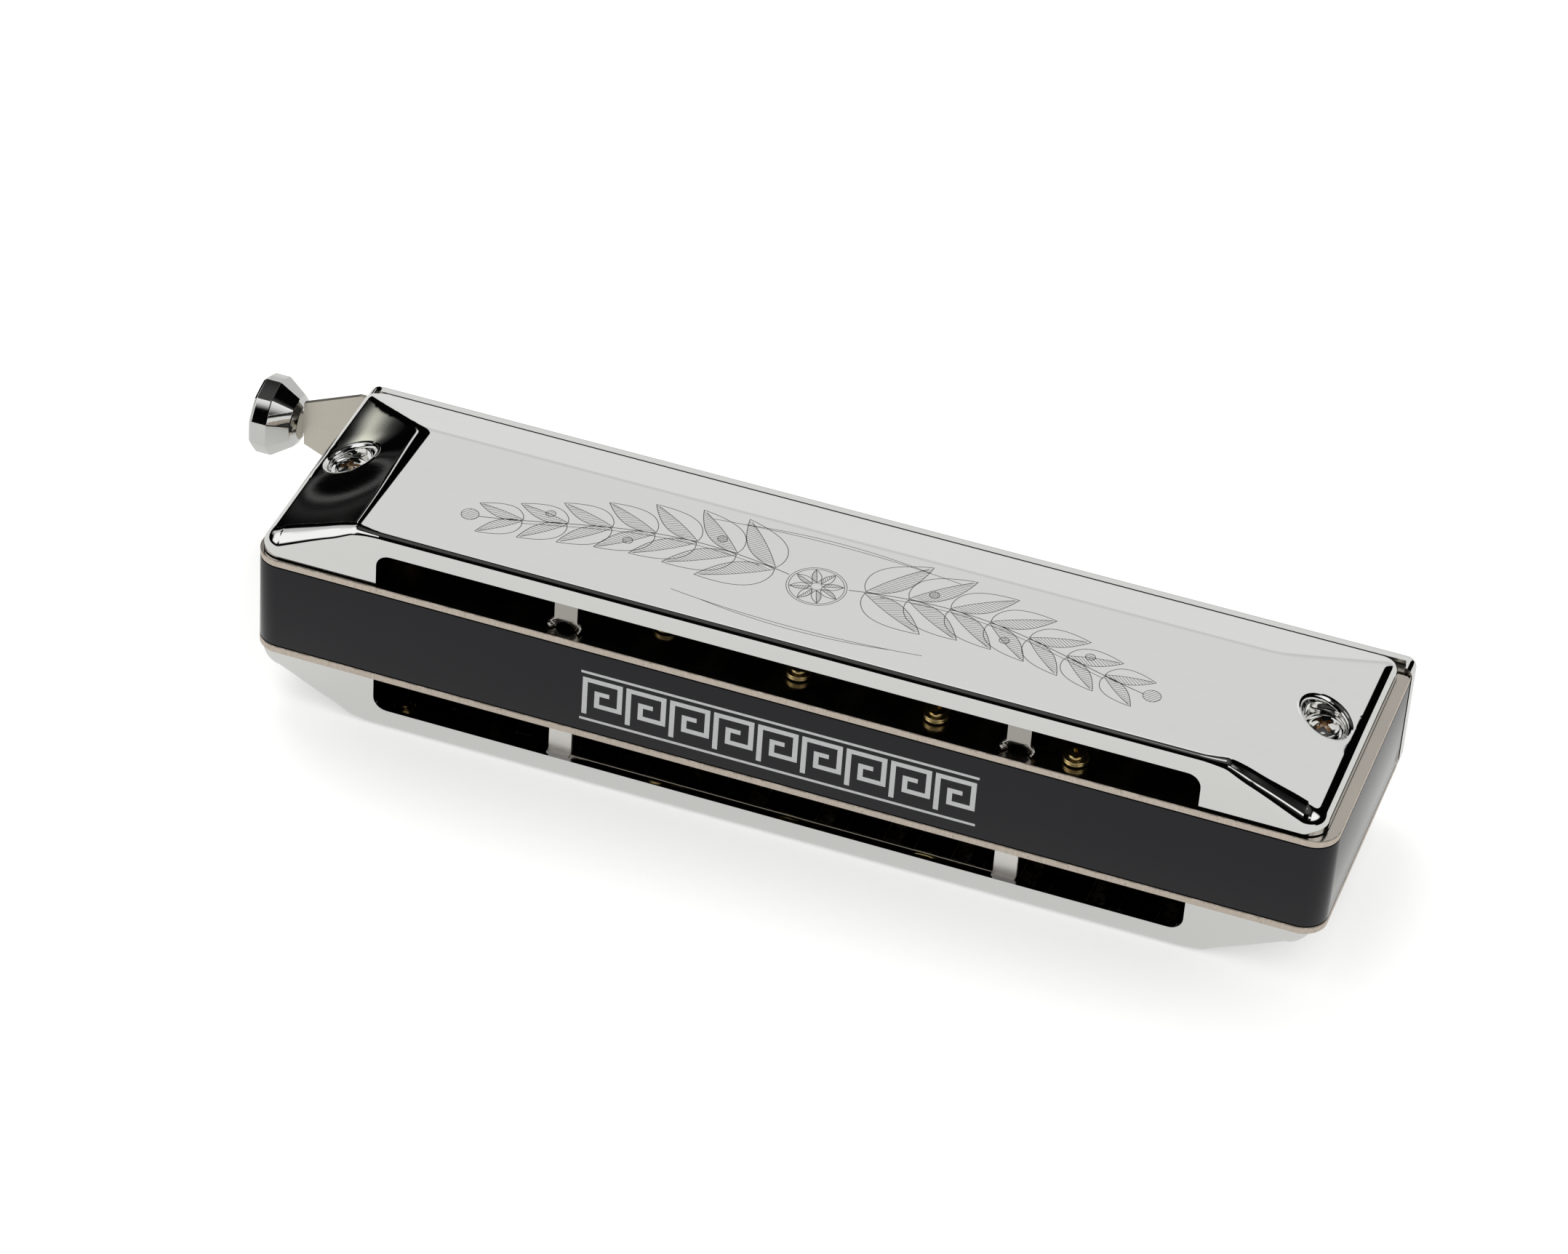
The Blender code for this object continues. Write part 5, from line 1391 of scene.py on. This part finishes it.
def make_camera(lens):
    """The photo's camera: its angles, roll and distance were fitted to the object's edges."""
    azimuth, elevation, roll = map(math.radians, (-16.995, 38.048, -4.341))
    distance = 0.708116
    target = Vector((-0.000301, 0.0, 0.017838)) + ORIGIN
    forward = Vector((math.sin(azimuth) * math.cos(elevation), math.cos(azimuth) * math.cos(elevation),
                      -math.sin(elevation)))
    right = Vector((math.cos(azimuth), -math.sin(azimuth), 0.0))
    down = -right.cross(forward)
    side = math.cos(roll) * right + math.sin(roll) * down
    lower = -math.sin(roll) * right + math.cos(roll) * down
    data = bpy.data.cameras.new("camera")
    data.lens = lens
    data.sensor_width = 36.0
    data.clip_start = 0.01
    camera = bpy.data.objects.new("camera", data)
    axes = Matrix((side, -lower, -forward)).transposed()
    camera.matrix_world = Matrix.Translation(target - distance * forward) @ axes.to_4x4()
    bpy.context.scene.collection.objects.link(camera)
    bpy.context.scene.camera = camera


# ---------------------------------------------------------------- operators

SIDES = ((1, "top"), (-1, "bottom"))


class HARMONICA_OT_materials(bpy.types.Operator):
    """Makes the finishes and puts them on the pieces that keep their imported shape"""

    bl_idname = "harmonica.materials"
    bl_label = "Finishes"

    def execute(self, context):
        make_materials()
        bolts = [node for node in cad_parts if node.startswith(("plate_bolt", "plate_nut"))]
        pairs = [f"{name}_{end}" for name in ("mouthpiece_screw", "cover_nut", "cover_screw")
                 for end in ("left", "right")]
        dress(bolts, "brass")
        dress(["top_reed_plate"], "top_plate")
        dress(["bottom_reed_plate"], "bottom_plate")
        dress(["slide", "slide_cage", "slide_back_plate"], "slide")
        dress([*pairs, "slide_spring", "spring_pin"], "steel")
        dress(["comb"], "comb")
        dress(["top_cover", "bottom_cover", "mouthpiece", "button"], "chrome")
        return {"FINISHED"}


class HARMONICA_OT_covers(bpy.types.Operator):
    """Makes the two stamped covers as thin sheet with soft creases, dishes and rear openings"""

    bl_idname = "harmonica.covers"
    bl_label = "Covers"

    def execute(self, context):
        for side, name in SIDES:
            make_cover(side, name)
        return {"FINISHED"}


class HARMONICA_OT_tabs(bpy.types.Operator):
    """Makes the hems of the rear openings and the four bent tabs that rest on the reed plates"""

    bl_idname = "harmonica.tabs"
    bl_label = "Tabs"

    def execute(self, context):
        for side, name in SIDES:
            make_hem(side, name)
            for number, x in enumerate(TAB_PLACES, start=1):
                make_tab(x, side, name, number)
        return {"FINISHED"}


class HARMONICA_OT_sleeves(bpy.types.Operator):
    """Lays the comb's coating and the plates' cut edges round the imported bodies"""

    bl_idname = "harmonica.sleeves"
    bl_label = "Coating and edges"

    def execute(self, context):
        make_sleeve("comb_coating", -HALF_COMB, HALF_COMB, "comb", "comb")
        for side, name in SIDES:
            low, high = sorted((side * (HALF_COMB + SEAT), side * PLATE_TOP))
            make_sleeve(f"{name}_plate_edge", low, high, f"{name}_plate", "reed_plate")
        return {"FINISHED"}


class HARMONICA_OT_ornament(bpy.types.Operator):
    """Draws the engraved spray on the top panel and the printed border on the comb"""

    bl_idname = "harmonica.ornament"
    bl_label = "Ornament"

    def execute(self, context):
        make_engraving()
        make_border()
        return {"FINISHED"}


class HARMONICA_OT_fastenings(bpy.types.Operator):
    """Turns the cover screws, the mouthpiece screws and the brass bolts and nuts"""

    bl_idname = "harmonica.fastenings"
    bl_label = "Fastenings"

    def execute(self, context):
        make_cover_screws()
        make_mouth_screws()
        make_bolts()
        return {"FINISHED"}


class HARMONICA_OT_spring(bpy.types.Operator):
    """Winds the return spring between the comb's pocket and the slide"""

    bl_idname = "harmonica.spring"
    bl_label = "Return spring"

    def execute(self, context):
        make_spring()
        return {"FINISHED"}


class HARMONICA_OT_mouthpiece(bpy.types.Operator):
    """Presses the mouthpiece with its rail and its flared holes"""

    bl_idname = "harmonica.mouthpiece"
    bl_label = "Mouthpiece"

    def execute(self, context):
        make_mouthpiece()
        return {"FINISHED"}


class HARMONICA_OT_knob(bpy.types.Operator):
    """Cuts the faceted knob on the end of the slide"""

    bl_idname = "harmonica.knob"
    bl_label = "Knob"

    def execute(self, context):
        make_knob()
        return {"FINISHED"}


class HARMONICA_OT_stage(bpy.types.Operator):
    """Sets the floor, the studio light and the camera"""

    bl_idname = "harmonica.stage"
    bl_label = "Stage"

    def execute(self, context):
        settings = context.scene.harmonica_stage
        make_floor()
        make_world(settings.light)
        make_lamps()
        make_camera(settings.lens)
        context.scene.view_settings.view_transform = "Standard"
        return {"FINISHED"}


class HARMONICA_PT_panel(bpy.types.Panel):
    """Lists the settings and the steps of the build"""

    bl_idname = "HARMONICA_PT_panel"
    bl_label = "Chromatic harmonica"
    bl_space_type = "VIEW_3D"
    bl_region_type = "UI"
    bl_category = "Harmonica"

    def draw(self, context):
        for group in GROUPS:
            settings = getattr(context.scene, group)
            for key in settings.bl_rna.properties.keys():
                if key not in ("rna_type", "name"):
                    self.layout.prop(settings, key)
        for operator in STEPS:
            self.layout.operator(operator.bl_idname)


GROUPS = {
    "harmonica_cover": HarmonicaCoverSizes,
    "harmonica_ornament": HarmonicaOrnamentSizes,
    "harmonica_finishes": HarmonicaFinishes,
    "harmonica_stage": HarmonicaStageSettings,
}
STEPS = (
    HARMONICA_OT_materials,
    HARMONICA_OT_covers,
    HARMONICA_OT_tabs,
    HARMONICA_OT_sleeves,
    HARMONICA_OT_ornament,
    HARMONICA_OT_fastenings,
    HARMONICA_OT_spring,
    HARMONICA_OT_mouthpiece,
    HARMONICA_OT_knob,
    HARMONICA_OT_stage,
)


def register():
    for item in (*GROUPS.values(), *STEPS, HARMONICA_PT_panel):
        bpy.utils.register_class(item)
    for name, group in GROUPS.items():
        setattr(bpy.types.Scene, name, bpy.props.PointerProperty(type=group))


def unregister():
    for name in GROUPS:
        delattr(bpy.types.Scene, name)
    for item in reversed((*GROUPS.values(), *STEPS, HARMONICA_PT_panel)):
        bpy.utils.unregister_class(item)


def main():
    register()
    for step in STEPS:
        group, name = step.bl_idname.split(".")
        getattr(getattr(bpy.ops, group), name)()


if __name__ == "__main__":
    main()
